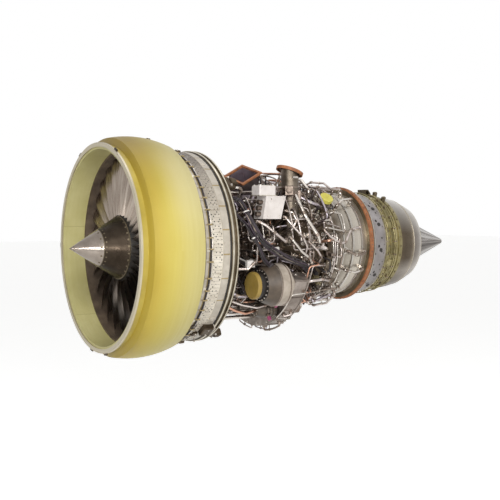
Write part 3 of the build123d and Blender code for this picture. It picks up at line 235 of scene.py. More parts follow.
def metal(name, low, high, roughness, tint=None, rings=False):
    """A worked metal between two colours, with stains and either grain or turned rings."""
    s = Shader(name)
    colour = s.between(s.noise(9.0, 4.0), low, high, 0.32)
    if tint:
        stain = s.level(s.noise(23.0, 5.0, rough=0.7), 0.53, 0.74)
        colour = s.mix(s.times(stain, 0.55), colour, tint)
    if rings:
        grain = s.streaks((900.0, 1.2, 700.0), 4.0, 0.7)
        colour = s.mix(s.level(grain, 0.35, 0.65, 0.0, 0.35), colour, low)
        s.bump(grain, 0.25, 0.25)
    else:
        s.bump(s.noise(70.0), 0.3, 0.35)
    return s.finish(colour, 1.0, s.spread(s.noise(31.0, 4.0), roughness * 0.8, min(1.0, roughness * 1.35)))


def paint(name, low, high, roughness, dirt, scale=14.0):
    """Paint or moulding between two colours, with orange peel and dirt in patches."""
    s = Shader(name)
    colour = s.between(s.noise(scale, 5.0), low, high, 0.3, 0.72)
    patch = s.level(s.noise(34.0, 6.0, rough=0.75), 0.55, 0.75)
    s.bump(s.noise(160.0), 0.25, 0.4)
    rough = s.spread(s.noise(40.0), roughness * 0.85, min(1.0, roughness * 1.25))
    return s.finish(s.mix(s.times(patch, 0.6), colour, dirt), 0.0, rough)


def wrap_material():
    """Ochre fibre wrap under varnish: woven cloth, hoop bands and blotches, with painted shade that browns
    its crown and front shoulder and painted light on its upper flanks and rear.
    """
    s = Shader("fan_wrap")
    weaves = [s.node("TexWave", {"Vector": s.unrolled(1.0, slant), "Scale": 160.0, "Distortion": 0.4},
                     wave_type="BANDS", bands_direction="DIAGONAL").outputs["Fac"] for slant in (0.64, -0.64)]
    cloth = s.maths("MAXIMUM", *weaves)
    hoops = s.streaks((46.0, 0.7))
    blotch = s.noise(3.2, 5.0)
    station, angle, _ = s.split()
    from_top = s.apart(angle, TOP)
    # From front to rear over the wrap's own ochre: the darker front shoulder is painted shade on the flare,
    # and the lighter rear is painted light.
    along = s.level(s.jitter(station, blotch, 0.06), 0.06, 0.42)
    colour = s.ramp(along, (0.0, (160, 138, 50)), (0.12, (178, 157, 68)), (0.36, (192, 177, 92)),
                    (0.68, (200, 189, 122)), (1.0, (203, 193, 134)))
    # The cream on the upper flanks towards the rear is a painted highlight.
    painted_highlight = s.times(s.level(s.apart(from_top, 0.9), 0.1, 0.6, 0.5, 0.0), s.level(station, 0.15, 0.27))
    # The crown darkened towards brown, most at the front, is painted shade.
    painted_top_shading = s.times(s.level(from_top, 0.3, 1.25, 1.0, 0.0), s.level(station, 0.12, 0.32, 1.0, 0.3))
    colour = s.layers(colour, (s.level(hoops, 0.35, 0.65, 0.0, 0.3), (182, 163, 74)),
                      (painted_highlight, (214, 205, 160)), (painted_top_shading, (138, 116, 42)),
                      (s.level(cloth, 0.0, 1.0, 0.14, 0.0), (120, 102, 40)))
    s.bump(cloth, 0.25, 0.35)
    s.bump(hoops, 0.35, 0.8)
    return s.finish(colour, 0.0, s.spread(blotch, 0.36, 0.5), Specular_IOR_Level=0.22)


def fan_case_material():
    """Bare turned metal on the front flange, ochre varnish on the barrel."""
    s = Shader("fan_case")
    rings = s.streaks((700.0, 0.8, 600.0), 4.0, 0.7)
    bare = s.between(rings, (150, 140, 120), (206, 197, 172))
    varnish = s.between(s.noise(7.0, 5.0), (156, 136, 50), (178, 158, 66))
    front = s.level(s.split()[0], 0.0128, 0.0136, 1.0, 0.0)
    s.bump(rings, 0.2, 0.2)
    return s.finish(s.mix(front, varnish, bare), s.times(front, 0.75), s.spread(rings, 0.3, 0.46))


def liner_material():
    """Yellow-green acoustic lining: fine holes in rows and seams between panels."""
    s = Shader("acoustic_liner")
    holes, seam = dots(s, 4.0, 940, 0.75), seams(s, 6, 10.3, 0.0022, 0.004)
    tone = s.noise(5.0, 5.0)
    colour = s.layers(s.between(tone, (184, 176, 118), (206, 199, 146)),
                      (s.level(s.streaks((60.0, 1.1), 3.0), 0.4, 0.7, 0.0, 0.3), (182, 172, 108)),
                      (s.times(holes, 0.5), (120, 112, 66)), (s.times(seam, 0.5), (140, 130, 78)))
    s.bump(holes, -0.5, 0.5)
    s.bump(seam, -0.6, 1.0)
    return s.finish(colour, 0.0, s.spread(tone, 0.42, 0.58), Specular_IOR_Level=0.3)


def rub_strip_material():
    """Brown abradable strip with turned grooves, darkened at their bottoms as painted shade."""
    s = Shader("rub_strip")
    grooves = s.maths("SINE", s.times(s.split()[0], 1250.0))
    colour = s.between(s.noise(16.0, 6.0), (74, 60, 48), (112, 96, 78))
    s.bump(grooves, 0.6, 1.0)
    # Darker in the grooves' bottoms: painted shade.
    return s.finish(s.mix(s.level(grooves, -1.0, 0.2, 0.45, 0.0), colour, (46, 36, 28)), 0.0, 0.7)


def pale_case_material():
    """Cream rear barrel: rows of small holes, panel lines, stains, painted shade that browns its crown, and
    brown inside.
    """
    s = Shader("rear_fan_case")
    station, angle, radius = s.split()
    holes = s.maths("MAXIMUM", dots(s, 14.0, 170, 1.7, 478), dots(s, 14.0, 170, 1.3, 471))
    rows = s.times(s.level(station, 0.478, 0.4785), s.level(station, 0.535, 0.5355, 1.0, 0.0))
    holes = s.times(holes, rows)
    edge = s.level(s.apart(station, 0.566), 0.0012, 0.0022, 1.0, 0.0)
    lines = s.maths("MAXIMUM", seams(s, 10, 10.13, 0.0028, 0.005), edge)
    tone = s.noise(11.0, 5.0)
    # The brown layer along the crown is painted shade, where the top falls dark.
    colour = s.layers(s.between(tone, (186, 176, 160), (216, 208, 194)),
                      (s.level(s.noise(26.0, 6.0, rough=0.75), 0.5, 0.72, 0.0, 0.5), (150, 140, 112)),
                      (s.level(s.apart(angle, TOP), 0.45, 1.5, 0.92, 0.0), (84, 72, 60)),
                      (s.level(radius, 0.5895, 0.592, 1.0, 0.0), (96, 88, 74)),
                      (s.times(lines, 0.6), (112, 98, 74)), (s.times(holes, 0.85), (60, 48, 34)))
    s.bump(holes, -0.8, 1.5)
    s.bump(lines, -0.7, 1.2)
    return s.finish(colour, 0.15, s.spread(tone, 0.36, 0.5))


def nozzle_material():
    """Thin stainless sheet, straw and brown towards its front from heat tint and painted dark reflections,
    with painted highlights at its lip, its crown and low on its flanks.
    """
    s = Shader("exhaust_nozzle")
    station, angle, _ = s.split()
    streaks = s.streaks((6.0, 5.0), 5.0, 0.65)
    along = s.jitter(station, streaks, 0.05)
    # Along the sheet: heat tint, with dark and bright bands of painted reflection; the bright rear end is a
    # painted highlight on the lip.
    heat_tint_and_painted_reflection = s.ramp(s.level(along, NOZZLE_FRONT * MM, NOZZLE_REAR * MM), (0.0, (74, 62, 47)),
                  (0.16, (56, 46, 35)), (0.4, (76, 65, 52)), (0.5, (120, 108, 92)), (0.54, (150, 141, 131)),
                  (0.6, (112, 104, 98)), (0.84, (140, 133, 126)), (1.0, (190, 184, 177)))
    # The sheen low on each flank and the brightening across the crown are painted highlights, strongest at
    # the lip.
    below = s.apart(angle, -TOP)
    painted_sheen = s.times(s.level(below, 0.6, 0.95, 0.0, 0.6), s.level(below, 0.95, 1.25, 1.0, 0.0))
    painted_top_shading = s.level(s.apart(angle, TOP), 0.35, 1.35, 0.9, 0.0)
    colour = s.layers(heat_tint_and_painted_reflection, (s.times(painted_sheen, s.level(along, 2.15, 2.28, 0.75, 1.0)), (180, 173, 165)),
                      (s.times(painted_top_shading, s.level(along, 2.15, 2.28, 0.8, 1.0)), (214, 210, 204)),
                      (s.spread(s.noise(4.0, 5.0), 0.0, 0.3), (140, 127, 108)))
    s.bump(s.streaks((300.0, 6.0), 3.0), 0.15, 0.3)
    return s.finish(colour, 0.9, s.spread(streaks, 0.22, 0.36))


def blade_material():
    """Titanium blades, polished along their span."""
    s = Shader("fan_blades")
    span = s.streaks((16.0, 40.0, 4.0), 5.0)
    s.bump(s.streaks((800.0, 500.0, 40.0)), 0.15, 0.2)
    return s.finish(s.between(span, (126, 113, 102), (170, 159, 148)), 1.0, s.spread(span, 0.22, 0.38))


def starter_material():
    """Black barrel, dark taupe cone painted as shade, and pale grey drum, with stains."""
    s = Shader("starter")
    front = ends("starter")[0]
    station = s.split()[0]
    tone = s.noise(18.0, 5.0)
    grey = s.between(tone, (150, 138, 124), (184, 172, 158))
    black = s.between(tone, (18, 15, 13), (40, 34, 30))
    # The dark taupe laid first, which stays on the cone between barrel and drum, is painted shade on the
    # forward-facing cone.
    colour = s.layers(s.between(tone, (60, 50, 40), (88, 75, 62)),
                      (s.level(station, (front + 116) * MM, (front + 118) * MM), grey),
                      (s.level(station, (front + 39) * MM, (front + 40) * MM, 1.0, 0.0), black),
                      (s.level(s.noise(34.0, 6.0, rough=0.75), 0.55, 0.75, 0.0, 0.4), (96, 82, 66)))
    s.bump(s.noise(160.0), 0.25, 0.4)
    return s.finish(colour, 0.1, 0.45)


def turbine_material():
    """Turned steel on the turbine case, stained and dark towards its front, polished and bright at its rear
    with a painted highlight.
    """
    s = Shader("turbine_case")
    rings = s.streaks((700.0, 1.2, 500.0), 4.0, 0.7)
    cloud = s.noise(12.0, 5.0)
    bright = s.between(rings, (170, 162, 150), (212, 206, 194))
    dull = s.between(cloud, (84, 74, 62), (126, 114, 100))
    # The bright steel at the rear is polished metal with a painted highlight.
    rear = s.level(s.jitter(s.split()[0], cloud, 0.03), 1.56, 1.75)
    s.bump(rings, 0.25, 0.25)
    return s.finish(s.mix(rear, dull, bright), 0.9, s.spread(rings, 0.24, 0.4))


def cone_material():
    """Bare exhaust cone sheet with broad dark and bright streaks along it that are painted reflections."""
    s = Shader("exhaust_cone")
    fine = s.streaks((500.0, 8.0))
    # The broad dark and bright streaks are painted reflections.
    colour = s.ramp(s.level(s.streaks((1.0, 2.6)), 0.34, 0.66), (0.0, (62, 56, 51)), (0.5, (128, 122, 117)),
                    (1.0, (196, 193, 189)))
    s.bump(fine, 0.2, 0.25)
    return s.finish(colour, 0.95, s.spread(fine, 0.22, 0.36))


# Name, dark colour, light colour, roughness and, where it has one, the stain's colour
TURNED_METALS = {
    "spinner": ("spinner_nose", (126, 116, 107), (158, 149, 140), 0.2),
    "spinner_dark": ("spinner_cone", (44, 37, 30), (70, 61, 52), 0.3),
    "dark_ring": ("frame_metal", (92, 82, 66), (136, 124, 104), 0.42, (60, 50, 38)),
    "light_ring": ("edge_metal", (176, 168, 150), (214, 208, 194), 0.34),
    "band": ("turned_steel", (160, 154, 146), (200, 195, 187), 0.27),
}
METALS = {
    "cast": ("cast_alloy", (122, 112, 104), (164, 154, 146), 0.5, (84, 70, 54)),
    # The dark casings under the pipes are darkened partly as painted shade, so that the gaps between the
    # pipes read dark; the hot steel is heat tinted too.
    "dark_case": ("dark_case", (48, 40, 34), (84, 72, 62), 0.5, (44, 36, 28)),
    "hot_and_shaded": ("hot_steel", (58, 49, 39), (98, 86, 71), 0.42, (70, 50, 36)),
    "steel": ("bright_steel", (176, 168, 160), (214, 208, 200), 0.26, (140, 124, 108)),
    "pipe": ("pipe_steel", (150, 138, 132), (208, 198, 192), 0.3, (118, 96, 84)),
    "dull_pipe": ("pipe_dull", (112, 100, 90), (156, 142, 132), 0.42, (84, 66, 50)),
    "copper": ("copper_pipe", (182, 136, 112), (208, 164, 142), 0.34, (120, 84, 62)),
    "valve": ("valve_body", (74, 66, 56), (128, 118, 106), 0.38, (66, 52, 40)),
    "olive": ("olive_steel", (126, 117, 82), (164, 154, 116), 0.4, (100, 80, 56)),
    "lilac": ("lilac_steel", (150, 140, 146), (192, 184, 190), 0.34, (128, 110, 100)),
}
# Name, dark colour, light colour, roughness, dirt's colour and, where it isn't the usual, the patches' scale
PAINTS = {
    "vane": ("dark_vane", (26, 23, 20), (46, 42, 37), 0.5, (70, 60, 48)),
    "seal": ("orange_rubber", (124, 74, 44), (172, 112, 70), 0.6, (84, 50, 34), 30.0),
    "blue_grey": ("blue_grey", (128, 122, 120), (160, 154, 154), 0.4, (98, 82, 64)),
    "dark_unit": ("dark_unit", (62, 54, 46), (96, 84, 70), 0.46, (126, 110, 92)),
    "taupe": ("taupe_unit", (146, 132, 118), (178, 166, 152), 0.42, (110, 94, 78)),
    "olive_unit": ("olive_unit", (108, 98, 72), (144, 132, 102), 0.45, (84, 72, 50)),
    "pale_box": ("pale_box", (204, 196, 190), (224, 217, 212), 0.4, (170, 156, 146)),
    "yellow": ("yellow_cap", (196, 186, 72), (212, 203, 96), 0.5, (168, 148, 60)),
    "amber": ("amber_cap", (140, 114, 50), (160, 134, 66), 0.5, (112, 90, 44)),
    "black": ("harness_braid", (24, 20, 20), (48, 41, 42), 0.6, (66, 58, 58)),
    "purple": ("harness_sleeve", (36, 27, 35), (62, 46, 58), 0.6, (82, 70, 76)),
    "white": ("white_sleeve", (206, 200, 194), (228, 223, 218), 0.5, (176, 164, 152)),
    "magenta": ("magenta_cap", (142, 60, 96), (162, 78, 114), 0.45, (112, 48, 76)),
    "ochre": ("ochre_band", (132, 114, 74), (164, 146, 106), 0.45, (98, 82, 50)),
    "panel": ("grey_panel", (158, 149, 135), (188, 180, 168), 0.4, (138, 127, 106)),
}
MATERIAL = {
    "wrap": wrap_material(), "fan_case": fan_case_material(), "liner": liner_material(),
    "rub_strip": rub_strip_material(), "pale_case": pale_case_material(), "nozzle": nozzle_material(),
    "blade": blade_material(), "starter": starter_material(), "turbine": turbine_material(),
    "plug": cone_material(),
    **{key: metal(*row, rings=True) for key, row in TURNED_METALS.items()},
    **{key: metal(*row) for key, row in METALS.items()},
    **{key: paint(*row) for key, row in PAINTS.items()},
}


def sorted_by(groups):
    """Each word of a dictionary's values, with the key that it stands under."""
    return {word: key for key, words in groups.items() for word in words.split()}


# The record's slot for the pieces of each material; nothing in this script reads this table.
SLOT = sorted_by({
    "frame_metal": "dark_ring", "bright_steel": "light_ring steel band", "dark_vane": "vane",
    "cast_alloy": "cast dark_case", "hot_steel": "hot_and_shaded", "pipe_metal": "pipe dull_pipe copper",
    "nozzle_steel": "plug", "olive_steel": "olive", "lilac_steel": "lilac", "case_paint": "ochre",
    "dark_unit": "dark_unit taupe black purple", "olive_unit": "olive_unit valve",
    "pale_box": "pale_box white", "yellow_cap": "yellow amber magenta", "pale_case": "panel",
})
# The material of each CAD node
NODE_MATERIAL = sorted_by({
    "wrap": "containment_wrap", "fan_case": "fan_case", "liner": "acoustic_liner", "rub_strip": "rub_strip",
    "pale_case": "rear_fan_case", "light_ring": "joint_clips", "dark_ring": "fan_frame fire_wall",
    "dark_case": "core_splitter upper_compressor_case lower_compressor_case",
    "vane": "outlet_guide_vanes fan_disk", "spinner": "spinner_nose", "spinner_dark": "spinner_cone",
    "blade": "fan_blades", "seal": "fire_seal duct_seal valve_clamp", "turbine": "turbine_case",
    "cast": "bearing_housing compressor_rotor unison_ring gearbox transfer_gearbox alternator oil_tank",
    "steel": "shaft_bearings fan_shaft core_shaft radial_shaft gearbox_shaft valve_disc actuator_rod "
             "fuel_nozzles",
    "hot_and_shaded": "combustor_case flame_tube core_turbine_rotor lp_turbine_rotor front_mount rear_mount",
    "pipe": "fuel_manifold core_pipes", "dull_pipe": "core_brackets", "blue_grey": "lp_turbine_case",
    "olive": "turbine_frame", "nozzle": "exhaust_nozzle", "plug": "exhaust_cone", "starter": "starter",
    "amber": "starter_cover", "dark_unit": "hydraulic_pump oil_cap stator_actuator", "lilac": "bleed_duct",
    "olive_unit": "fuel_control", "pale_box": "control_box ignition_exciter", "valve": "bleed_valve",
    "yellow": "port_cover",
})


def dress_nodes():
    """Give every CAD node its material."""
    for name, obj in nodes.items():
        obj.data.materials.clear()
        obj.data.materials.append(MATERIAL[NODE_MATERIAL[name]])


# Places on the engine

def spot(station, angle, radius):
    """A place around the engine as a point in metres."""
    a = math.radians(angle)
    return Vector((station * MM, -radius * math.cos(a) * MM, radius * math.sin(a) * MM))


def polar(point):
    """A point in metres as a place around the engine."""
    return point.x / MM, math.degrees(math.atan2(point.z, -point.y)), math.hypot(point.y, point.z) / MM


def outward(angle):
    """Direction away from the centreline at an angle."""
    a = math.radians(angle)
    return Vector((0, -math.cos(a), math.sin(a)))


def around(angle):
    """Direction of growing angles at an angle."""
    a = math.radians(angle)
    return Vector((0, math.sin(a), math.cos(a)))


def ground_tree(names):
    """A search tree over the faces of some CAD nodes."""
    points, faces = [], []
    for name in names:
        mesh = nodes[name].data
        first = len(points)
        points.extend(v.co.copy() for v in mesh.vertices)
        faces.extend([first + i for i in p.vertices] for p in mesh.polygons)
    return BVHTree.FromPolygons(points, faces)


# What the core's pipes stand on, and what they don't have to keep clear of
CORE_CASES = ("upper_compressor_case", "lower_compressor_case", "combustor_case", "turbine_case", "fire_wall",
              "lp_turbine_case", "turbine_frame")
OUTER = ("fan_case", "containment_wrap", "acoustic_liner", "rub_strip", "rear_fan_case", "joint_clips",
         "core_pipes")
case_tree = ground_tree(CORE_CASES)
solid_tree = ground_tree([name for name in nodes if name not in OUTER])


def depth(tree, station, angle, start=680):
    """Radius at which a ray from outside meets the solids, or 0."""
    hit = tree.ray_cast(spot(station, angle, start), -outward(angle))
    return 0.0 if hit[0] is None else math.hypot(hit[0].y, hit[0].z) / MM


def on(tree, station, angle, sink=1):
    """The place on the solids at a station and an angle, sunk in a little."""
    return station, angle, depth(tree, station, angle) - sink


# Mesh and curve building

class Piece:
    """Vertices and faces of one object that is built from many small forms."""

    def __init__(self):
        self.points = []
        self.faces = []
        self.smooth = []

    def add(self, points, faces, smooth=True):
        """Points in metres and the faces between them, counted from the first of these points."""
        first = len(self.points)
        self.points.extend(points)
        self.faces.extend([first + i for i in face] for face in faces)
        self.smooth.extend([smooth] * len(faces))

    def lathe(self, base, axis, profile, sides=16, flat=False):
        """Turn (distance along the axis, radius) points about an axis from a base point."""
        axis = axis.normalized()
        side = axis.orthogonal().normalized()
        third = axis.cross(side)
        points, faces = [], []
        for along, radius in profile:
            for n in range(sides):
                a = TURN * n / sides
                reach = (side * math.cos(a) + third * math.sin(a)) * radius
                points.append(base + (axis * along + reach) * MM)
        for k in range(len(profile) - 1):
            for n in range(sides):
                m = (n + 1) % sides
                faces.append((k * sides + n, k * sides + m, (k + 1) * sides + m, (k + 1) * sides + n))
        self.add(points, faces, not flat)
        self.add(points[:sides], [tuple(reversed(range(sides)))], False)
        self.add(points[-sides:], [tuple(range(sides))], False)

    def stud(self, place, profile, sides=16, flat=False):
        """A turned form that stands outward on a place around the engine."""
        self.lathe(spot(*place), outward(place[1]), profile, sides, flat)

    def bolt(self, base, axis, size=7.0, height=5.0):
        """A hexagon head on a washer, with the rounded end of its stud."""
        self.lathe(base, axis, [(-1, size * 1.25), (1.0, size * 1.25)], 12)
        self.lathe(base, axis, [(1.0, size), (height * 0.8, size), (height, size * 0.8)], 6, True)
        stud = [(height, size * 0.5), (height * 1.5, size * 0.5), (height * 1.7, size * 0.3)]
        self.lathe(base, axis, stud, 8)

    def screw(self, place, size, height):
        """A bolt that points outward."""
        self.bolt(spot(*place), outward(place[1]), size, height)

    def block(self, base, out, along, length, width, height, bevel=3.0):
        """A block with bevelled upper edges; base is the middle of its foot."""
        out = out.normalized()
        along = (along - out * along.dot(out)).normalized()
        across = out.cross(along)
        points = []
        for level, inset in ((0, 0), (height - bevel, 0), (height, bevel)):
            x, y = length / 2 - inset, width / 2 - inset
            for sx, sy in ((-1, -1), (1, -1), (1, 1), (-1, 1)):
                points.append(base + (out * level + along * sx * x + across * sy * y) * MM)
        faces = [(3, 2, 1, 0), (8, 9, 10, 11)]
        for k in (0, 4):
            for n in range(4):
                m = (n + 1) % 4
                faces.append((k + n, k + m, k + 4 + m, k + 4 + n))
        self.add(points, faces, False)

    def pad(self, place, *sizes, along=AFT):
        """A block that stands outward on a place around the engine."""
        self.block(spot(*place), outward(place[1]), along, *sizes)

    def ring(self, profile, start=0.0, end=360.0, step=3.0):
        """Turn a closed outline of (station, radius) points about the engine's centreline."""
        closed = end - start >= 360
        count = max(2, round((end - start) / step))
        rows = count if closed else count + 1
        points, faces = [], []
        size = len(profile)
        for n in range(rows):
            angle = start + (end - start) * n / count
            points.extend(spot(x, angle, r) for x, r in profile)
        for n in range(count):
            m = (n + 1) % rows
            for k in range(size):
                j = (k + 1) % size
                faces.append((n * size + k, n * size + j, m * size + j, m * size + k))
        self.add(points, faces, True)
        if not closed:
            self.add(points[:size], [tuple(range(size))], False)
            self.add(points[-size:], [tuple(reversed(range(size)))], False)

    def band(self, front, rear, low, high, inset=0.0, arc=()):
        """A ring of four corners, whose upper ones may stand inside the lower ones."""
        self.ring([(front, low), (front + inset, high), (rear - inset, high), (rear, low)], *arc)

    def make(self, name, material, body="casing"):
        """The finished object, on the body that it rides."""
        mesh = bpy.data.meshes.new(name)
        mesh.from_pydata(self.points, [], self.faces)
        mesh.polygons.foreach_set("use_smooth", self.smooth)
        mesh.validate()
        mesh.update()
        obj = bpy.data.objects.new(name, mesh)
        bpy.context.scene.collection.objects.link(obj)
        mesh.materials.append(MATERIAL[material])
        mesh.set_sharp_from_angle(angle=math.radians(40))
        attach(obj, body)


class Tubes:
    """One curve object that holds many tubes of the same material."""

    def __init__(self, name, material, sides=2):
        self.curve = bpy.data.curves.new(name, "CURVE")
        self.curve.dimensions = "3D"
        self.curve.bevel_depth = MM
        self.curve.bevel_resolution = sides
        self.curve.use_fill_caps = True
        self.curve.materials.append(MATERIAL[material])
        self.name = name
        self.material = material

    def line(self, points, radius):
        """One tube through points in metres."""
        spline = self.curve.splines.new("POLY")
        spline.points.add(len(points) - 1)
        for point, target in zip(spline.points, points):
            point.co = (*target, 1)
            point.radius = radius
        spline.use_smooth = True

    def make(self, body="casing"):
        obj = bpy.data.objects.new(self.name, self.curve)
        bpy.context.scene.collection.objects.link(obj)
        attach(obj, body)
        return obj


def tubes_of(name, kinds, sides=2):
    """Tubes of several materials, one object each."""
    return {kind: Tubes(f"{name}_{kind}", kind, sides) for kind in kinds}


def make_used(tubes):
    """The objects of the tubes that hold a line."""
    return [item.make() for item in tubes.values() if item.curve.splines]


def smooth_path(corners, bend, turned=False):
    """A path in metres with round corners: each reaches as far as the bend, or turns on it as a radius."""
    path = [corners[0]]
    for before, corner, after in zip(corners, corners[1:], corners[2:]):
        back, ahead = before - corner, after - corner
        reach, steps, most = bend, 4, 0.48
        if turned:
            turn = math.pi - back.angle(ahead)
            reach, steps, most = bend * math.tan(turn / 2), max(2, round(math.degrees(turn) / 9)), 0.49
        reach = min(reach * MM, back.length * most, ahead.length * most)
        first, last = corner + back.normalized() * reach, corner + ahead.normalized() * reach
        for k in range(steps + 1):
            t = k / steps
            path.append(first * (1 - t) ** 2 + corner * 2 * t * (1 - t) + last * t**2)
    path.append(corners[-1])
    clean = [path[0]]
    for point in path[1:]:
        if (point - clean[-1]).length > (0.001 if turned else 0.0015):
            clean.append(point)
    return clean


def unrolled_path(stops, step=7.0):
    """Straight runs between (station, angle, radius) stops, following the engine's roundness."""
    corners = []
    for (x0, a0, r0), (x1, a1, r1) in zip(stops, stops[1:]):
        parts = max(1, round(abs(a1 - a0) / step))
        for n in range(parts):
            t = n / parts
            corners.append(spot(x0 + (x1 - x0) * t, a0 + (a1 - a0) * t, r0 + (r1 - r0) * t))
    corners.append(spot(*stops[-1]))
    return corners


# Fan case and its rings

def fan_case_rings():
    """Strips, tubes, holes, panels and bolt rows that stand on the fan case behind the wrap."""
    strip = Piece()
    for n in range(32):
        arc = (n * 360 / 32 - 5.4, n * 360 / 32 + 5.4)
        strip.band(CASE_REAR + 9, CASE_REAR + 27, CASE_RADIUS, CASE_RADIUS + 3, 0, arc)
    strip.make("joint_strip", "panel")
    band = Piece()
    band.band(CASE_REAR + 29, CASE_REAR + 52, CASE_RADIUS, CASE_RADIUS + 1.5)
    band.band(*PANELS, CASE_RADIUS - 1, CASE_RADIUS + 0.5)
    band.make("clip_band", "ochre")
    for kind, name, station, size in (("black", "ring_harness", 37, 5.0), ("steel", "ring_tube", 48, 3.0)):
        sway = chance.uniform(0, 6)
        hoop = Tubes(name, kind)
        hoop.line([spot(CASE_REAR + station + math.sin(n * 0.7 + sway) * 1.2, n * 2, CASE_RADIUS + 2 + size)
                   for n in range(181)], size)
        hoop.make()
    clips = Piece()
    for n in range(48):
        angle = n * 7.5 + chance.uniform(-1.5, 1.5)
        clips.pad((CASE_REAR + 40, angle, CASE_RADIUS + 1), 30, 9, 13)
        clips.screw((CASE_REAR + 18, angle, CASE_RADIUS + 3), 3.2, 3.0)
    clips.make("ring_clips", "ochre")
    plugs, rims = Piece(), Piece()
    for row, station in enumerate((481, 493, 506, 519, 531)):
        for n in range(126):
            if chance.random() < 0.22:
                continue
            angle = (n + row * 0.5) * 360 / 126 + chance.uniform(-0.3, 0.3)
            size = chance.choice((2.2, 3.0, 3.8, 4.4))
            place = (station + chance.uniform(-2, 2), angle, CASE_RADIUS - 0.5)
            plugs.stud(place, [(0, size), (0.9, size), (1.1, size * 0.7)], 8)
            if size > 4 and n % 2:
                rims.stud(place, [(0, size + 2), (0.7, size + 1.6)], 10)
    plugs.make("case_holes", "vane")
    rims.make("case_rims", "light_ring")
    panels = Piece()
    front, rear = PANELS
    for n in range(26):
        middle = (n + 0.3) * 360 / 26
        panels.ring([(front, CASE_RADIUS), (front + 0.5, CASE_RADIUS + 1.6), (rear - 1, CASE_RADIUS + 1.6),
                     (rear, CASE_RADIUS)], middle - 6.5, middle + 6.5)
    panels.make("case_panels", "panel")
    edge = Piece()
    for start, width in ((FRAME_FRONT + 3, 12), (FRAME_REAR - 12, 8)):
        lift = depth(solid_tree, start + width / 2, 0) - 1
        edge.band(start, start + width, lift, lift + 4, 1)
    edge.make("frame_edges", "light_ring")
    # Two dark rings: one just in front of the fan frame, and one just behind the fan case's rear, a painted
    # shadow under the wrap's rear edge.
    seal = Piece()
    seal.band(FRAME_FRONT - 10, FRAME_FRONT - 1, CASE_RADIUS, CASE_RADIUS + 3)
    seal.band(CASE_REAR + 1, CASE_REAR + 7, CASE_RADIUS, CASE_RADIUS + 4)
    seal.make("frame_band_and_painted_shadow", "vane")
    bolts = Piece()
    for n in range(72):
        bolts.bolt(spot(FRAME_REAR, n * 5 + 2.5, 597.5), AFT, 4.2, 4.5)
    bolts.make("fan_case_bolts", "steel")


# Lugs around the fan case: angle, station, length, width, height
RING_LUGS = (
    (84.6, 312, 22, 26, 6), (85, 432, 26, 40, 24), (85, 517, 34, 44, 12), (100, 474, 30, 60, 16),
    (-81, 470, 40, 46, 21), (-64, 470, 46, 70, 10), (-52, 458, 36, 54, 8), (-60, 505, 30, 40, 14),
    (-54, 555, 66, 84, 34), (-90, 560, 40, 60, 22), (-112, 500, 50, 60, 24), (-140, 560, 34, 50, 14),
    (140, 520, 34, 50, 14), (176, 476, 30, 44, 12),
)


def ring_lugs():
    """Lugs, brackets and small covers around the fan case."""
    lugs, bolts, pale = Piece(), Piece(), Piece()
    barrel = ground_tree(("containment_wrap", "fan_case", "rear_fan_case", "fan_frame"))
    for angle, station, length, width, height in RING_LUGS:
        place = on(barrel, station, angle, 2)
        lugs.pad(place, length, width, height + 2, min(6, height / 3))
        for side in (-0.3, 0.3):
            top = spot(*place) + outward(angle) * (height + 1.5) * MM
            bolts.bolt(top + around(angle) * side * width * MM, outward(angle), 4.0, 3.5)
    for angle in (-80, -100, 64, 116, 180):
        lugs.pad((7, angle, 638), 10, 34, 15)
    for angle, station in ((-68, 542), (-120, 470)):
        bolts.stud(on(barrel, station, angle),
                   [(0, 9), (5, 9), (6, 4.5), (24, 4.5), (25, 6), (31, 6), (32, 3)], 12)
    for angle, station, size in ((-45, 566, 21), (-38, 500, 9), (36, 512, 10), (58, 560, 14), (150, 500, 16)):
        pale.stud(on(barrel, station, angle),
                  [(0, size), (5, size), (7, size * 0.86), (7.5, size * 0.4), (10, size * 0.36)], 20)
    pale.pad((592, -54, 602), 5, 90, 36, 2)
    lugs.make("ring_lugs", "hot_and_shaded")
    bolts.make("ring_lug_bolts", "steel")
    pale.make("ring_covers", "panel")


def frame_brackets():
    """Brackets behind the fan frame for the cowls and the thrust links."""
    brackets, bolts = Piece(), Piece()
    for angle in (-66, -126, 42, 138):
        base = spot(FRAME_REAR + 26, angle, 570)
        brackets.block(base, outward(angle), AFT, 60, 84, 34, 8)
        brackets.block(base + AFT * 26 * MM, outward(angle), AFT, 40, 44, 44, 6)
        for side in (-30, 30):
            bolts.bolt(base + outward(angle) * 33 * MM + around(angle) * side * MM, outward(angle), 7, 6)
    brackets.make("cowl_brackets", "hot_and_shaded")
    bolts.make("cowl_bracket_bolts", "steel")


# Fan details, which turn with the fan

BLADES = 28
DISK_FRONT_RADIUS = 194
DISK_REAR_RADIUS = 240


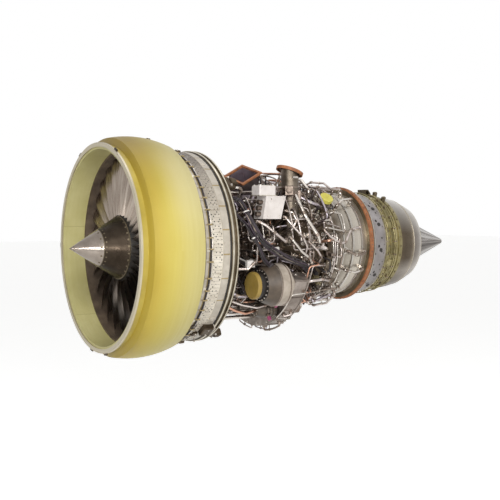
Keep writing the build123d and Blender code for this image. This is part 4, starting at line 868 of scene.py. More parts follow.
def fan_details():
    """Screws along the spinner's joint and rear edge, and platforms between the blades."""
    tip, joint = ends("spinner_nose")
    rear = ends("spinner_cone")[1]
    slope = DISK_FRONT_RADIUS / (rear - tip)
    tilt = math.atan(slope)
    screws = Piece()
    for station, count, size in ((joint - 13, 12, 4.2), (joint + 12, 24, 3.2), (rear - 9, 28, 3.6)):
        for n in range(count):
            angle = n * 360 / count + 4
            axis = outward(angle) * math.cos(tilt) - AFT * math.sin(tilt)
            base = spot(station, angle, (station - tip) * slope)
            head = [(-1, size * 1.5), (0.25, size * 1.5), (0.3, size), (0.9, size * 0.9)]
            screws.lathe(base, axis, head, 12)
            screws.lathe(base, axis, [(0.8, size * 0.45), (1.1, size * 0.45)], 6, True)
    screws.make("spinner_screws", "dark_ring", "fan_spool")
    lines = Piece()
    for station, width, height in ((joint, 2.0, 0.7), (rear - 1.5, 3.0, 1.2), (tip + 26, 1.4, 0.5)):
        radius = (station - tip) * slope
        lines.ring([(station - width, radius - slope * width), (station - width / 2, radius + height),
                    (station + width / 2, radius + height), (station + width, radius + slope * width)])
    lines.make("spinner_edges", "dark_ring", "fan_spool")
    platforms = Piece()
    front, back = ends("fan_disk")
    for n in range(BLADES):
        points, faces = [], []
        for k in range(9):
            station = front + 2 + (back - front - 6) * k / 8
            share = (station - front) / (back - front)
            radius = DISK_FRONT_RADIUS + (DISK_REAR_RADIUS - DISK_FRONT_RADIUS) * share
            middle = n * 360 / BLADES + 8.0 - 3.2 * k / 8
            for side, lift in ((-4.9, 0.6), (-4.2, 3.2), (0, 4.6), (4.2, 3.2), (4.9, 0.6)):
                points.append(spot(station, middle + side * 0.72, radius + lift))
        for k in range(8):
            for a in range(k * 5, k * 5 + 4):
                faces.append((a, a + 1, a + 6, a + 5))
        platforms.add(points, faces)
    platforms.make("blade_platforms", "vane", "fan_spool")


# Bolt rows and bosses on the core casings

# Rows of bosses over the stator vanes: station, count and the first one's angle
BOSS_ROWS = (
    (790, 24, 3), (835, 26, 0), (885, 28, 6), (930, 28, 2), (985, 30, 5), (1040, 30, 1), (1095, 30, 4),
)


def core_bolts():
    """Bolts of the casings' flanges and split line, and the stator vanes' bosses."""
    bolts = Piece()
    for station, facing, radius, count, size in (
            (COMBUSTOR_FRONT + 9, 1, 244, 40, 4.6), (COMBUSTOR_REAR - 9, -1, 353, 64, 4.4),
            (COMBUSTOR_REAR + 9, 1, 353, 64, 4.4), (LP_REAR + 10, 1, 347, 72, 4.4)):
        for n in range(count):
            bolts.bolt(spot(station, (n + 0.5) * 360 / count, radius), AFT * facing, size, 4.6)
    seal_screws = Piece()
    for n in range(56):
        seal_screws.screw((TURBINE_REAR + 7, n * 360 / 56, 398), 3.0, 2.4)
    seal_screws.make("seal_screws", "dull_pipe")
    for hand in (-1, 1):
        for k in range(18):
            station = FRAME_REAR + 70 + k * 25.5
            radius = 288 - 40 * (station - FRAME_REAR - 54) / 466
            for facing in (1, -1):
                bolts.bolt(Vector((station, hand * radius, 11 * facing)) * MM, UP * facing, 5, 5)
    bolts.make("core_bolts", "steel")
    bosses, caps = Piece(), Piece()
    for station, count, shift in BOSS_ROWS:
        for n in range(count):
            angle = n * 360 / count + shift
            if abs(((angle + 90) % 180) - 90) < 6:
                continue
            radius = depth(case_tree, station, angle)
            bosses.stud((station, angle, radius - 4), [(0, 9), (13, 9), (14, 6), (22, 5.5), (23, 3)], 10)
            bosses.pad((station, angle, radius + 14), 30, 7, 4, 1, along=Vector((1, 0.12, 0)))
    bosses.make("stator_bosses", "dull_pipe")
    for station in (815, 860, 910, 960):
        radius = depth(case_tree, station, 35) + 22
        caps.band(station - 5, station + 5, radius, radius + 9)
    caps.make("stator_rings", "dark_case")


NOZZLES = 16


def fuel_nozzle_details():
    """Hexagon bodies, flanges and pigtail pipes at the fuel nozzles."""
    station = ends("fuel_nozzles")[0] + 9
    bodies, tails = Piece(), Tubes("fuel_pigtails", "pipe")
    for n in range(NOZZLES):
        angle = (n + 0.5) * 360 / NOZZLES
        base = spot(station, angle, 344)
        bodies.block(base, outward(angle), AFT, 52, 34, 8, 2)
        for side in (-18, 18):
            bodies.bolt(base + AFT * side * MM + outward(angle) * 7 * MM, outward(angle), 4.5, 4)
        bodies.lathe(base, outward(angle), [(8, 13), (18, 13), (19, 11)], 6, True)
        stops = ((station + 30, angle, 352), (station + 38, angle, 380), (station + 26, angle + 4, 392),
                 (station, angle + 6, 392))
        tails.line(smooth_path([spot(*s) for s in stops], 16), 4.5)
        bodies.stud((station + 30, angle, 346), [(0, 8), (14, 8), (15, 6)], 6, True)
    bodies.make("nozzle_bodies", "steel")
    tails.make()


# Stations of the turbine frame's strut pads and lugs, and of the ports in front of it
STRUTS = 2051
FRAME_LUGS = 2106
PORTS = 1907
# Tubes round the turbine's frame: station and how far off the case
FRAME_TUBES = ((1986, 9), (2060, 14), (2076, 13))


def turbine_details():
    """Rings, port plugs, cooling tubes and brackets around the two turbine cases."""
    rings = Piece()
    for station, width, height in ((1540, 10, 7), (1618, 8, 5), (1694, 12, 9), (1768, 8, 6)):
        radius = depth(case_tree, station, 0)
        rings.band(station - width, station + width, radius - 1, radius + height, width * 0.4)
    rings.make("turbine_ribs", "band")
    plugs = Piece()
    for angle in (46, 26, -2, -32, -49):
        radius = depth(case_tree, PORTS, angle + 8)
        plugs.stud((PORTS, angle, radius - 9), [(0, 10.4), (5, 10.4), (5.5, 7.5), (3, 6.5)], 14)
        plugs.stud((PORTS + 18, angle - 4, radius - 2), [(0, 13), (3, 13), (3.5, 10), (2, 9)], 16)
    for station, count, shift, size in ((1874, 30, 2, 5.5), (1938, 24, 7, 7.0), (1962, 36, 0, 3.6)):
        for n in range(count):
            if chance.random() < 0.2:
                continue
            place = on(case_tree, station, n * 360 / count + shift)
            plugs.stud(place, [(0, size), (2, size), (2.4, size * 0.6)], 12)
    plugs.make("port_plugs", "vane")
    nuts, dark = Piece(), Piece()
    for station, count, size in ((1994, 80, 4.6), (2008, 80, 3.6), (2024, 60, 4.2), (2122, 64, 4.2)):
        for n in range(count):
            angle = (n + 0.5) * 360 / count
            nuts.screw(on(case_tree, station, angle, 0.5), size, size)
            if n % 2 and station > 2000:
                dark.pad(on(case_tree, station + 9, angle), 7, 16, 5, 1)
    nuts.make("frame_nuts", "olive")
    dark.make("frame_clips", "dark_ring")
    ribs = Piece()
    for station in (2036, 2088, 2112):
        radius = depth(case_tree, station, 10)
        ribs.band(station - 4, station + 4, radius - 1, radius + 5, 1)
    ribs.make("frame_ribs", "olive")
    hose, stands = Tubes("frame_tubes", "olive", 3), Piece()
    for station, lift in FRAME_TUBES:
        hose.line([spot(station + math.sin(n * 0.9) * 2, n * 3, depth(case_tree, station, n * 3) + lift)
                   for n in range(121)], 3.2)
        for n in range(24):
            stands.pad(on(case_tree, station, n * 15 + 3), 8, 7, lift + 5, 1)
    hose.make()
    stands.make("frame_tube_clips", "dull_pipe")
    edges = Piece()
    for station, radius in ((1853, 384), (1981, 349)):
        edges.band(station - 4, station + 4, radius - 2, radius + 3, 2)
    edges.make("case_edges", "light_ring")
    pads = Piece()
    for n in range(8):
        angle = (n + 0.5) * 45
        radius = depth(case_tree, STRUTS, angle)
        pads.pad((STRUTS, angle, radius - 5), 74, 52, 13, 4)
        for x in (-28, 28):
            for y in (-18, 18):
                place = spot(STRUTS + x, angle, radius + 7) + around(angle) * y * MM
                pads.bolt(place, outward(angle), 5, 4)
    pads.make("strut_pads", "olive")
    lugs = Piece()
    for angle in (62, 78, 108, 124):
        radius = depth(case_tree, FRAME_LUGS, angle)
        lugs.pad((FRAME_LUGS, angle, radius - 6), 30, 16, 46, 5)
        lugs.lathe(spot(FRAME_LUGS, angle, radius + 28), around(angle), [(-12, 8), (12, 8)], 12)
    lugs.make("frame_lugs", "dark_ring")
    lip = Piece()
    lip.ring([(NOZZLE_REAR - 4, 266), (NOZZLE_REAR - 5, 271.5), (NOZZLE_REAR - 0.5, 272),
              (NOZZLE_REAR - 0.3, 266)])
    lip.ring([(2271, 313), (2271.5, 316), (2276, 315.5), (2276.5, 311)])
    lip.make("nozzle_lip", "light_ring")
    cone = Piece()
    cone.ring([(2380, 188), (2381, 191.4), (2388, 191.3), (2389, 187)])
    for n in range(12):
        angle = n * 30 + 10
        axis = outward(angle) * 0.91 + AFT * 0.41
        cone.lathe(spot(2416, angle, 177.5), axis, [(-2, 4.5), (0.8, 4.5), (1.4, 3.6)], 10)
    cone.make("cone_seam", "plug")


# Accessories under the core

def front_bolts(bolts, centre, radius, count):
    """A circle of bolts that face forward, around a centre in metres."""
    for n in range(count):
        a = TURN * n / count
        bolts.bolt(centre + Vector((0, math.cos(a), math.sin(a))) * radius * MM, -AFT, 4.5, 4)


def accessory_details():
    """Ribs, bolts, covers and fittings on the gearbox and what it carries."""
    ribs, bolts, parts = Piece(), Piece(), Piece()
    front, back = ends("gearbox")
    for n in range(11):
        angle = -24 - n * 13.2
        ribs.pad(((front + back) / 2, angle, 538), back - front - 10, 7, 9, 2)
        for station, facing in ((front, -1), (back, 1)):
            for radius in (530, 434):
                bolts.bolt(spot(station, angle + 5, radius), AFT * facing, 5.5, 5)
    for station in (front + 2, back - 12):
        ribs.band(station, station + 10, 539, 545, 0, (-156, -24))
    for angle, length, radius in ((-58, 70, 34), (-104, 46, 26), (-74, 54, 22)):
        flange, stub = radius + 9, radius * 0.35
        parts.lathe(spot(back, angle, 484), AFT,
                    [(0, flange), (8, flange), (9, radius), (length, radius), (length + 6, radius * 0.8),
                     (length + 7, stub), (length + 20, stub)], 20)
    low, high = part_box("starter")
    middle = (low + high) / 2
    front_bolts(bolts, Vector((0.899, middle.y, middle.z)), 93, 20)
    for station in (0.982, 1.044):
        place = Vector((station, middle.y, middle.z))
        parts.lathe(place, AFT, [(-2, 134), (-1, 137), (5, 137), (6, 134)], 40)
    for node in ("hydraulic_pump", "alternator"):
        low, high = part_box(node)
        centre, radius = (low + high) / 2, (high.y - low.y) / 2 / MM
        for share in (0.45, 0.6, 0.75):
            parts.lathe(Vector((low.x + (high.x - low.x) * share, centre.y, centre.z)), AFT,
                        [(-1, radius - 1), (0, radius + 3), (6, radius + 3), (7, radius - 1)], 30)
        front_bolts(bolts, Vector((low.x, centre.y, centre.z)), radius * 0.6, 8)
    low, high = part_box("fuel_control")
    for y in (-60, 0, 60):
        foot = Vector((low.x + 0.05, y * MM, low.z))
        parts.block(foot, -UP, AFT, 60, 44, 12, 4)
        bolts.bolt(foot - UP * 12 * MM, -UP, 9, 8)
    for side in (-1, 1):
        parts.lathe(Vector((low.x + 0.05, side * 0.086, (low.z + high.z) / 2)), Vector((0, side, 0)),
                    [(-1, 26), (5, 26), (6, 18), (26, 18), (27, 10), (40, 10)], 18)
    ribs.make("gearbox_ribs", "cast")
    bolts.make("accessory_bolts", "steel")
    parts.make("accessory_parts", "dull_pipe")


def valve_details():
    """Bands with their bolts and two units around the bleed valve's vertical body."""
    base = Vector((*VALVE_PLACE, 0))
    bands, unit = Piece(), Piece()
    for level in (290, 318, 346, 378):
        bands.lathe(base + UP * level * MM, UP, [(-2, 57), (-1, 63), (3, 65), (7, 63), (8, 57)], 36)
    for level, turn in ((348, 200), (320, 250)):
        a = math.radians(turn)
        side = Vector((math.cos(a), math.sin(a), 0))
        bands.bolt(base + (side * 64 + UP * level) * MM, side, 7, 12)
    side = Vector((-0.6, -0.8, 0))
    unit.block(base + (side * 55 + UP * 358) * MM, side, UP, 66, 60, 34, 6)
    unit.lathe(base + (side * 85 + UP * 362) * MM, side, [(0, 22), (12, 22), (14, 15), (24, 15), (25, 9)], 18)
    side = Vector((0.75, -0.66, 0))
    unit.block(base + (side * 55 + UP * 330) * MM, side, UP, 60, 46, 22, 4)
    unit.lathe(base + (side * 74 + UP * 335) * MM, side, [(0, 15), (18, 15), (19, 10), (26, 10)], 14)
    bands.make("valve_bands", "dull_pipe")
    unit.make("valve_drive", "dull_pipe")


def tank_details():
    """Straps and fittings of the oil tank on the right side."""
    front, back = ends("oil_tank")
    straps, fittings = Piece(), Piece()
    for station in (front + 60, back - 60):
        straps.band(station - 11, station + 11, 519, 522.5, 0, (158, 200))
    straps.band(front + 160, front + 166, 519, 522, 0, (158.5, 199.5))
    straps.make("tank_straps", "steel")
    for angle, station in ((163, front + 40), (190, front + 110), (196, back - 40)):
        fittings.stud((station, angle, 516), [(0, 16), (10, 16), (11, 11), (24, 11), (25, 7)], 12)
    fittings.make("tank_fittings", "dull_pipe")


def box_details():
    """Lid edges, screws and connectors of the pale boxes, two white boxes and the magenta caps."""
    trim, screws, plugs = Piece(), Piece(), Piece()
    low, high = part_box("ignition_exciter")
    middle = (low + high) / 2
    length, width = (high.x - low.x) / MM, (high.y - low.y) / MM
    trim.block(Vector((middle.x, middle.y, high.z - 0.001)), UP, AFT, length - 10, width - 10, 4, 2)
    trim.block(Vector((middle.x, middle.y, low.z + 0.001)), UP, AFT, length + 5, width + 5, 4, 1)
    for x in (-0.048, 0.048):
        for y in (-0.035, 0.035):
            screws.bolt(Vector((middle.x + x, middle.y + y, high.z + 0.002)), UP, 3.4, 3)
    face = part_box("control_box")[0].y
    for x, z in ((0.99, 0.30), (1.085, 0.30), (0.965, 0.195), (1.045, 0.195)):
        screws.bolt(Vector((x, face, z)), Vector((0, -1, 0)), 3.4, 2.6)
    for z in (0.205, 0.242, 0.279):
        x = 0.932 + (z - 0.176) / 0.144 * 0.026
        plugs.lathe(Vector((x, face + 0.045, z)), Vector((-1, 0, 0.1)),
                    [(0, 17), (5, 17), (6, 13), (22, 13), (23, 15), (34, 15), (36, 9)], 16)
    white, magenta, sheet = Piece(), Piece(), Piece()
    for station, angle, level, *sizes in ((818, -12.5, 446, 56, 44, 26), (1002, -3, 452, 40, 50, 16)):
        ground = depth(case_tree, station, angle)
        white.pad((station, angle, level), *sizes, along=Vector((1, 0, 0.1)))
        white.stud((station, angle, ground - 2), [(0, 12), (4, 12), (5, 6), (level - ground, 6)], 12)
    for station, angle in ((1046, -56), (1046, -44), (1100, -50)):
        place = on(solid_tree, station, angle)
        sheet.stud(place, [(0, 17), (8, 17), (9, 11), (18, 11)], 14)
        magenta.stud(place, [(16, 13), (38, 12), (40, 9)], 16)
    white.make("white_boxes", "white")
    magenta.make("magenta_caps", "magenta")
    sheet.make("cap_bosses", "dull_pipe")
    trim.make("box_trim", "light_ring")
    screws.make("box_screws", "steel")
    plugs.make("box_connectors", "dull_pipe")


# Pipes and harnesses around the core

# Station and radius of the hull that the outer pipes keep to
HULL = ((700, 395), (800, 455), (900, 500), (1400, 500), (1560, 420), (1700, 398), (1800, 390))


def hull_radius(station):
    """Radius of the outer pipes' hull at a station."""
    if station <= HULL[0][0]:
        return HULL[0][1]
    for (x0, r0), (x1, r1) in zip(HULL, HULL[1:]):
        if station <= x1:
            return r0 + (r1 - r0) * (station - x0) / (x1 - x0)
    return HULL[-1][1]


class Room:
    """Cells of space that pipes have taken, so that the next pipe goes round them."""

    def __init__(self, size=9):
        self.size = size
        self.cells = {}

    def cell(self, point):
        return tuple(int(math.floor(c / MM / self.size)) for c in point)

    def taken(self, points, radius, owner):
        """True if a cell near a point belongs to another owner."""
        reach = int(math.ceil(radius / self.size))
        near = range(-reach, reach + 1)
        for point in points:
            x, y, z = self.cell(point)
            around_it = ((x + i, y + j, z + k) for i in near for j in near for k in near)
            if any(self.cells.get(cell, owner) != owner for cell in around_it):
                return True
        return False

    def take(self, points, owner):
        for point in points:
            self.cells[self.cell(point)] = owner


room = Room()


def dense(points, gap=7.0):
    """Points no further apart than a gap along a path."""
    out = []
    for a, b in zip(points, points[1:]):
        parts = max(1, int((b - a).length / (gap * MM)))
        out.extend(a.lerp(b, n / parts) for n in range(parts))
    out.append(points[-1])
    return out


def away(point):
    """Direction from the engine's centreline out to a point."""
    return Vector((0, point.y, point.z)).normalized()


def clear_of_solids(points, radius):
    """True if a path keeps a tube's radius away from every CAD solid."""
    for point in points:
        if solid_tree.find_nearest(point, (radius + 3) * MM)[0] is not None:
            return False
        hit = solid_tree.ray_cast(point, away(point), 1.0)
        if hit[0] is not None and hit[1].dot(away(point)) > 0:
            return False
    return True


def in_keep_out(station, angle, radius):
    """The unison ring and its rod, the valve's lever and the oil cap move in these places."""
    if RING_STATION - 16 < station < RING_STATION + 36 and radius > 285:
        return True
    if station < 705:
        return True
    return 155 < angle % 360 < 178 and 1000 < station < 1090


def fitting(piece, base, axis, radius):
    """A nut, its sleeve and the boss under it."""
    piece.lathe(base, axis, [(-3, radius * 2.6), (3, radius * 2.6), (4, radius * 2.0)], 14)
    piece.lathe(base, axis, [(4, radius * 2.1), (4 + radius * 1.9, radius * 2.1)], 6, True)
    piece.lathe(base, axis, [(4 + radius * 1.9, radius * 1.6), (4 + radius * 2.8, radius * 1.3)], 12)


def end_on(ground, hardware, corners, first, place, radius, lift):
    """Stand a pipe's first or last end on what is under it, with a fitting."""
    station, angle, level = place
    low = depth(ground, station, angle, level)
    if low > 0:
        fitting(hardware, spot(station, angle, low), outward(angle), radius)
        corners.insert(0 if first else len(corners), spot(station, angle, low + lift))


def clamp(piece, point, along, out, radius, drop):
    """A loop clamp around a tube with its foot and post down to what is under it."""
    along = along.normalized()
    piece.lathe(point - along * 5 * MM, along,
                [(0, radius + 0.6), (0.6, radius + 2.2), (9.4, radius + 2.2), (10, radius + 0.6)], 12)
    foot = point - out * (radius + 1) * MM
    piece.lathe(foot - out * drop * MM, out, [(0, 4.4), (drop, 3.0)], 7)
    piece.block(foot, out, along, 11, 15, 2.4, 0.6)
    piece.bolt(foot + along.cross(out) * (radius + 5) * MM, out, 3.0, 3.0)


MOST_LEAN = 0.3
LONGEST_POST = 210


def clamp_along(hardware, path, radius, gap, under=0):
    """Clamps along a tube, each on what lies further down than a distance under the tube's middle."""
    travelled = gap * 0.5
    for before, point, after in zip(path, path[1:], path[2:]):
        travelled += (point - before).length / MM
        out, along = away(point), after - before
        if travelled < gap or abs(along.normalized().dot(out)) > MOST_LEAN:
            continue
        station, angle, level = polar(point)
        drop = level - radius - depth(solid_tree, station, angle, level - under)
        if 0 < drop < LONGEST_POST:
            clamp(hardware, point, along, out, radius, drop)
            travelled = 0


def run_pipe(tubes, hardware, stops, radius, bend, gap, ground=case_tree):
    """A pipe through (station, angle, radius) stops that ends in fittings on the solids."""
    corners = unrolled_path(stops)
    for first, stop in ((True, stops[0]), (False, stops[-1])):
        end_on(ground, hardware, corners, first, stop, radius, 5)
    path = smooth_path(corners, bend)
    tubes.line(path, radius)
    clamp_along(hardware, path, radius, gap)
    return path


# The pipes of the core_pipes node: material, tube radius, which ends stand on the core, and (run, angle,
# height) points as the part has them, with the angle from the right side towards the top
BOTH, FRONT, REAR = (True, True), (True, False), (False, True)
CORE_ROUTES = (
    ("pipe", 9, BOTH, (0.43, 160, 133), (0.52, 164, 147), (0.61, 169, 155), (0.78, 176, 147),
     (0.84, 174, 110)),
    ("steel", 9, BOTH, (0.13, 128, 80), (0.26, 126, 120), (0.40, 128, 120)),
    ("pipe", 8, BOTH, (0.14, 197, 95), (0.30, 196, 125), (0.38, 190, 135)),
    ("copper", 9, FRONT, (0.142, 230, 125), (0.296, 233, 155), (0.45, 236, 165), (0.66, 238, 137)),
    ("pipe", 8, BOTH, (0.16, 224, 125), (0.335, 226, 155), (0.546, 228, 170), (0.70, 228, 155)),
    ("lilac", 10, BOTH, (0.142, 218, 85), (0.26, 220, 123), (0.41, 221, 125)),
    ("steel", 12, REAR, (1.25, 122, 127), (1.21, 147, 125), (1.25, 156, 125), (1.51, 172, 115),
     (1.59, 177, 95)),
    ("pipe", 8, BOTH, (0.883, 154, 95), (0.969, 165, 113), (1.124, 172, 115), (1.236, 180, 110),
     (1.23, 192, 85)),
    ("steel", 9, BOTH, (0.90, 172, 107), (1.076, 184, 125), (1.274, 189, 125), (1.395, 194, 107)),
    ("pipe", 7, BOTH, (0.93, 148, 85), (1.019, 151, 101), (1.06, 158, 101), (0.97, 166, 75)),
    ("lilac", 11, REAR, (1.25, 124.8, 93), (1.57, 138, 85), (1.75, 141, 82), (1.85, 141, 65)),
    ("pipe", 8, BOTH, (1.38, 176, 65), (1.57, 184, 81), (1.68, 190, 79), (1.66, 198, 55)),
    ("steel", 7, BOTH, (1.586, 159, 50), (1.70, 156, 40), (2.08, 154, 40)),
    ("pipe", 10, BOTH, (1.306, 214, 85), (1.52, 210, 105), (1.81, 210, 95), (2.09, 216, 55)),
    ("dull_pipe", 7, BOTH, (1.306, 224, 115), (1.68, 224, 95), (2.12, 228, 57), (2.48, 228, 55)),
    ("pipe", 8, BOTH, (1.866, 149, 63), (1.79, 166, 71), (1.90, 171, 71), (2.196, 178, 63),
     (2.33, 177, 57), (2.506, 165, 51), (2.78, 162, 43)),
    ("dull_pipe", 6, BOTH, (2.24, 174, 33), (2.31, 192, 37), (2.33, 214, 35), (2.24, 230, 35)),
    ("steel", 8, BOTH, (2.35, 138, 55), (2.55, 132, 62), (2.85, 128, 50)),
    ("dull_pipe", 9, BOTH, (2.45, 186, 45), (2.65, 190, 50), (2.88, 188, 42)),
    ("steel", 8, BOTH, (2.45, 206, 45), (2.70, 208, 50), (2.90, 206, 42)),
    ("steel", 10, BOTH, (0.13, 118, 80), (0.28, 112, 110), (0.34, 98, 100)),
    ("pipe", 9, BOTH, (0.185, 84, 100), (0.45, 80, 125), (0.75, 78, 125), (1.05, 80, 120), (1.40, 84, 60)),
    ("dull_pipe", 8, BOTH, (0.13, 75, 90), (0.40, 70, 110), (0.80, 66, 110), (1.20, 62, 120),
     (1.60, 64, 100), (1.90, 66, 60)),
    ("steel", 12, BOTH, (0.16, 50, 110), (0.50, 46, 140), (0.95, 46, 140), (1.65, 52, 90), (2.10, 54, 60),
     (2.60, 54, 50)),
    ("copper", 8, BOTH, (0.55, 38, 100), (0.70, 34, 110), (1.10, 36, 110), (1.30, 30, 100),
     (1.60, 28, 85), (2.10, 30, 60)),
    ("steel", 10, BOTH, (1.68, 128, 110), (1.72, 112, 120), (1.70, 95, 120), (1.66, 80, 115)),
    ("pipe", 8, BOTH, (1.58, 100, 70), (1.90, 102, 60), (2.30, 104, 60), (2.85, 108, 50)),
    ("pipe", 7, BOTH, (2.40, 122, 85), (2.44, 104, 88), (2.44, 84, 88), (2.42, 66, 88), (2.38, 46, 85),
     (2.36, 30, 60)),
    ("pipe", 10, BOTH, (0.13, 20, 100), (0.24, 14, 130), (0.36, 6, 140), (0.38, -8, 120)),
    ("steel", 10, BOTH, (1.25, 12, 100), (1.50, 8, 110), (1.85, 4, 80), (2.20, 2, 55), (2.70, 6, 45)),
    ("pipe", 8, BOTH, (1.20, -10, 90), (1.45, -14, 105), (1.80, -12, 85), (2.15, -16, 50), (2.50, -20, 45)),
    ("dull_pipe", 8, BOTH, (0.14, -30, 90), (0.40, -34, 110), (0.75, -32, 100), (0.95, -30, 45),
     (1.22, -28, 50), (1.60, -30, 90)),
    ("steel", 10, BOTH, (0.30, -52, 100), (0.60, -50, 120), (0.80, -48, 70), (0.95, -48, 40)),
    ("pipe", 8, BOTH, (1.30, -48, 80), (1.60, -44, 85), (2.05, -46, 60), (2.50, -44, 50)),
    ("pipe", 7, BOTH, (2.20, -30, 90), (2.24, -12, 90), (2.24, 8, 92), (2.20, 24, 70)),
    ("steel", 9, BOTH, (2.70, -75, 70), (2.74, -55, 75), (2.72, -35, 75), (2.66, -15, 70)),
    ("dull_pipe", 8, BOTH, (0.15, -75, 80), (0.40, -72, 110), (0.70, -71, 100), (0.90, -71, 50),
     (1.25, -72, 60), (1.90, -72, 50)),
    ("steel", 10, BOTH, (0.15, -106, 85), (0.40, -108, 115), (0.62, -108, 115), (0.82, -106, 50),
     (1.62, -106, 65), (2.60, -102, 50)),
    ("steel", 12, REAR, (1.45, -86, 135), (1.70, -86, 130), (1.95, -84, 90), (2.20, -82, 50)),
    ("copper", 9, REAR, (1.15, -125, 130), (1.35, -125, 125), (1.62, -122, 100), (1.90, -122, 60)),
    ("pipe", 9, REAR, (1.15, -50, 130), (1.35, -52, 120), (1.60, -56, 90), (1.85, -58, 55)),
    ("pipe", 8, BOTH, (2.38, -128, 85), (2.42, -110, 88), (2.42, -90, 88), (2.40, -72, 88),
     (2.36, -56, 70)),
)

# Smaller tubes that the photograph shows on the left side: material, radius, stops
LEFT_PIPES = (
    ("steel", 5.0, ((1448, 12, 396), (1380, 3, 404), (1352, 9, 398))),
    ("steel", 4.5, ((1500, 12, 382), (1504, -4, 384), (1510, -20, 382))),
    ("pipe", 4.5, ((1518, 12, 382), (1522, -4, 384), (1528, -20, 382))),
    ("steel", 4.5, ((1534, 12, 382), (1538, -4, 384), (1545, -20, 382))),
)

HARNESS_STOPS = ((728, 44, 440), (782, 38, 468), (806, 26, 480), (828, 16, 484), (858, 8, 488), (900, 2, 490),
                 (952, -1, 490), (1046, -7, 486), (1150, -12, 476), (1229, -15, 465), (1275, -20, 440))

SIDE_STOPS = ((728, 28, 452), (800, 18, 458), (850, 4, 466), (905, -9, 470), (960, -14, 474))


def harness(stops, name, strands, size, spread, wobble):
    """A loose bundle of sleeved wires, clamped to posts every so often."""
    parts = tubes_of(name, ("black", "purple", "dull_pipe"))
    ties, white = Piece(), Piece()
    middle = dense(smooth_path(unrolled_path(stops), 60), 14)
    for n in range(strands):
        share = 2 * n / (strands - 1) - 1
        phase, pace = chance.uniform(0, 6.3), chance.uniform(0.22, 0.42)
        line = []
        for k, point in enumerate(middle):
            before, after = middle[max(0, k - 1)], middle[min(len(middle) - 1, k + 1)]
            out = away(point)
            side = (after - before).normalized().cross(out)
            lift = (1 - share * share) * size * 0.9 + (5 if n % 2 else 0) + math.cos(k * pace) * 3
            sway = share * spread + math.sin(k * pace + phase) * wobble
            line.append(point + (side * sway + out * lift) * MM)
        kind = ("black", "purple", "black", "black", "dull_pipe")[n % 5]
        parts[kind].line(line, size * chance.uniform(0.75, 1.15))
    for k in range(4, len(middle) - 4, 10):
        point = middle[k]
        along = (middle[k + 1] - middle[k - 1]).normalized()
        out = away(point)
        points = []
        for layer in (-4, 4):
            for j in range(24):
                a = TURN * j / 24
                reach = along.cross(out) * math.cos(a) * (spread + size + 3)
                rise = out * (math.sin(a) * (size * 2.2 + 2) + size * 0.7)
                points.append(point + (reach + rise + along * layer) * MM)
        faces = [(j, (j + 1) % 24, 24 + (j + 1) % 24, 24 + j) for j in range(24)]
        (white if k == 14 else ties).add(points, faces)
        station, angle, level = polar(point)
        low = depth(solid_tree, station, angle, level - size * 2)
        if k % 20 == 4 and low and not in_keep_out(station, angle, level):
            ties.stud((station, angle, low - 1), [(0, 7), (2, 5), (level - size * 1.2 - low, 4.2)], 8)
    for end, near in ((0, 1), (-1, -2)):
        point = middle[end]
        out = away(point)
        ties.block(point - out * 12 * MM, out, (middle[near] - point).cross(out), 2 * spread + 18, 24, 28, 4)
        station, angle, level = polar(point)
        low = depth(solid_tree, station, angle, level - 12)
        if 0 < low < level - 12:
            ties.stud((station, angle, low - 1), [(0, 15), (5, 15), (6, 8), (level - low - 11, 8)], 12)
    make_used(parts)
    ties.make(name + "_ties", "black")
    white.make(name + "_clamp", "white")
    for point in dense(middle, 8):
        room.take([point, point + away(point) * 10 * MM], name)


def route_spot(run, angle, height):
    """A point of a core route in metres."""
    stations = (FRAME_REAR, COMBUSTOR_FRONT, COMBUSTOR_REAR, TURBINE_REAR)
    first = min(2, int(run))
    station = stations[first] + (run - first) * (stations[first + 1] - stations[first])
    return spot(station, 180 - angle, CORE_LEVEL + height)


def core_routes():
    """The main pipes, with nuts and collars at their ends and sleeves along them."""
    tubes = tubes_of("main_pipes", sorted({route[0] for route in CORE_ROUTES}), 4)
    hardware, sleeves = Piece(), Piece()
    for index, (kind, radius, (start, end), *points) in enumerate(CORE_ROUTES):
        corners = [route_spot(*point) for point in points]
        for stands, at in ((start, 0), (end, -1)):
            if stands:
                end_on(case_tree, hardware, corners, at == 0, polar(corners[at]), radius, -1)
        path = smooth_path(corners, 2.5 * radius, turned=True)
        if not start:
            path = dense(path, 4)
            while math.dist(path[0].xy, VALVE_PLACE) < VALVE_CLEARANCE:
                path.pop(0)
        tubes[kind].line(path, radius)
        room.take(dense(path), f"route {index}")
        clamp_along(hardware, dense(path, 22), radius, 170, radius + 2)
        gap = 7 if start else 40
        for point, after in zip(path[2:-2:gap], path[3:-1:gap]):
            low, high = radius + 0.4, radius + 2.4
            sleeves.lathe(point, after - point, [(-11, low), (-10, high), (10, high), (11, low)], 14)
    for made in tubes.values():
        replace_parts(made.make(), "core_pipes")
    hardware.make("main_pipe_fittings", "steel")
    sleeves.make("main_pipe_sleeves", "dull_pipe")


def left_pipes():
    """The smaller tubes of the left side with their clamps."""
    tubes = tubes_of("left_pipes", sorted({kind for kind, _, _ in LEFT_PIPES}), 3)
    hardware = Piece()
    for index, (kind, radius, stops) in enumerate(LEFT_PIPES):
        path = run_pipe(tubes[kind], hardware, stops, radius, 34, 150)
        room.take(dense(path), f"left {index}")
    make_used(tubes)
    hardware.make("left_pipe_clamps", "steel")


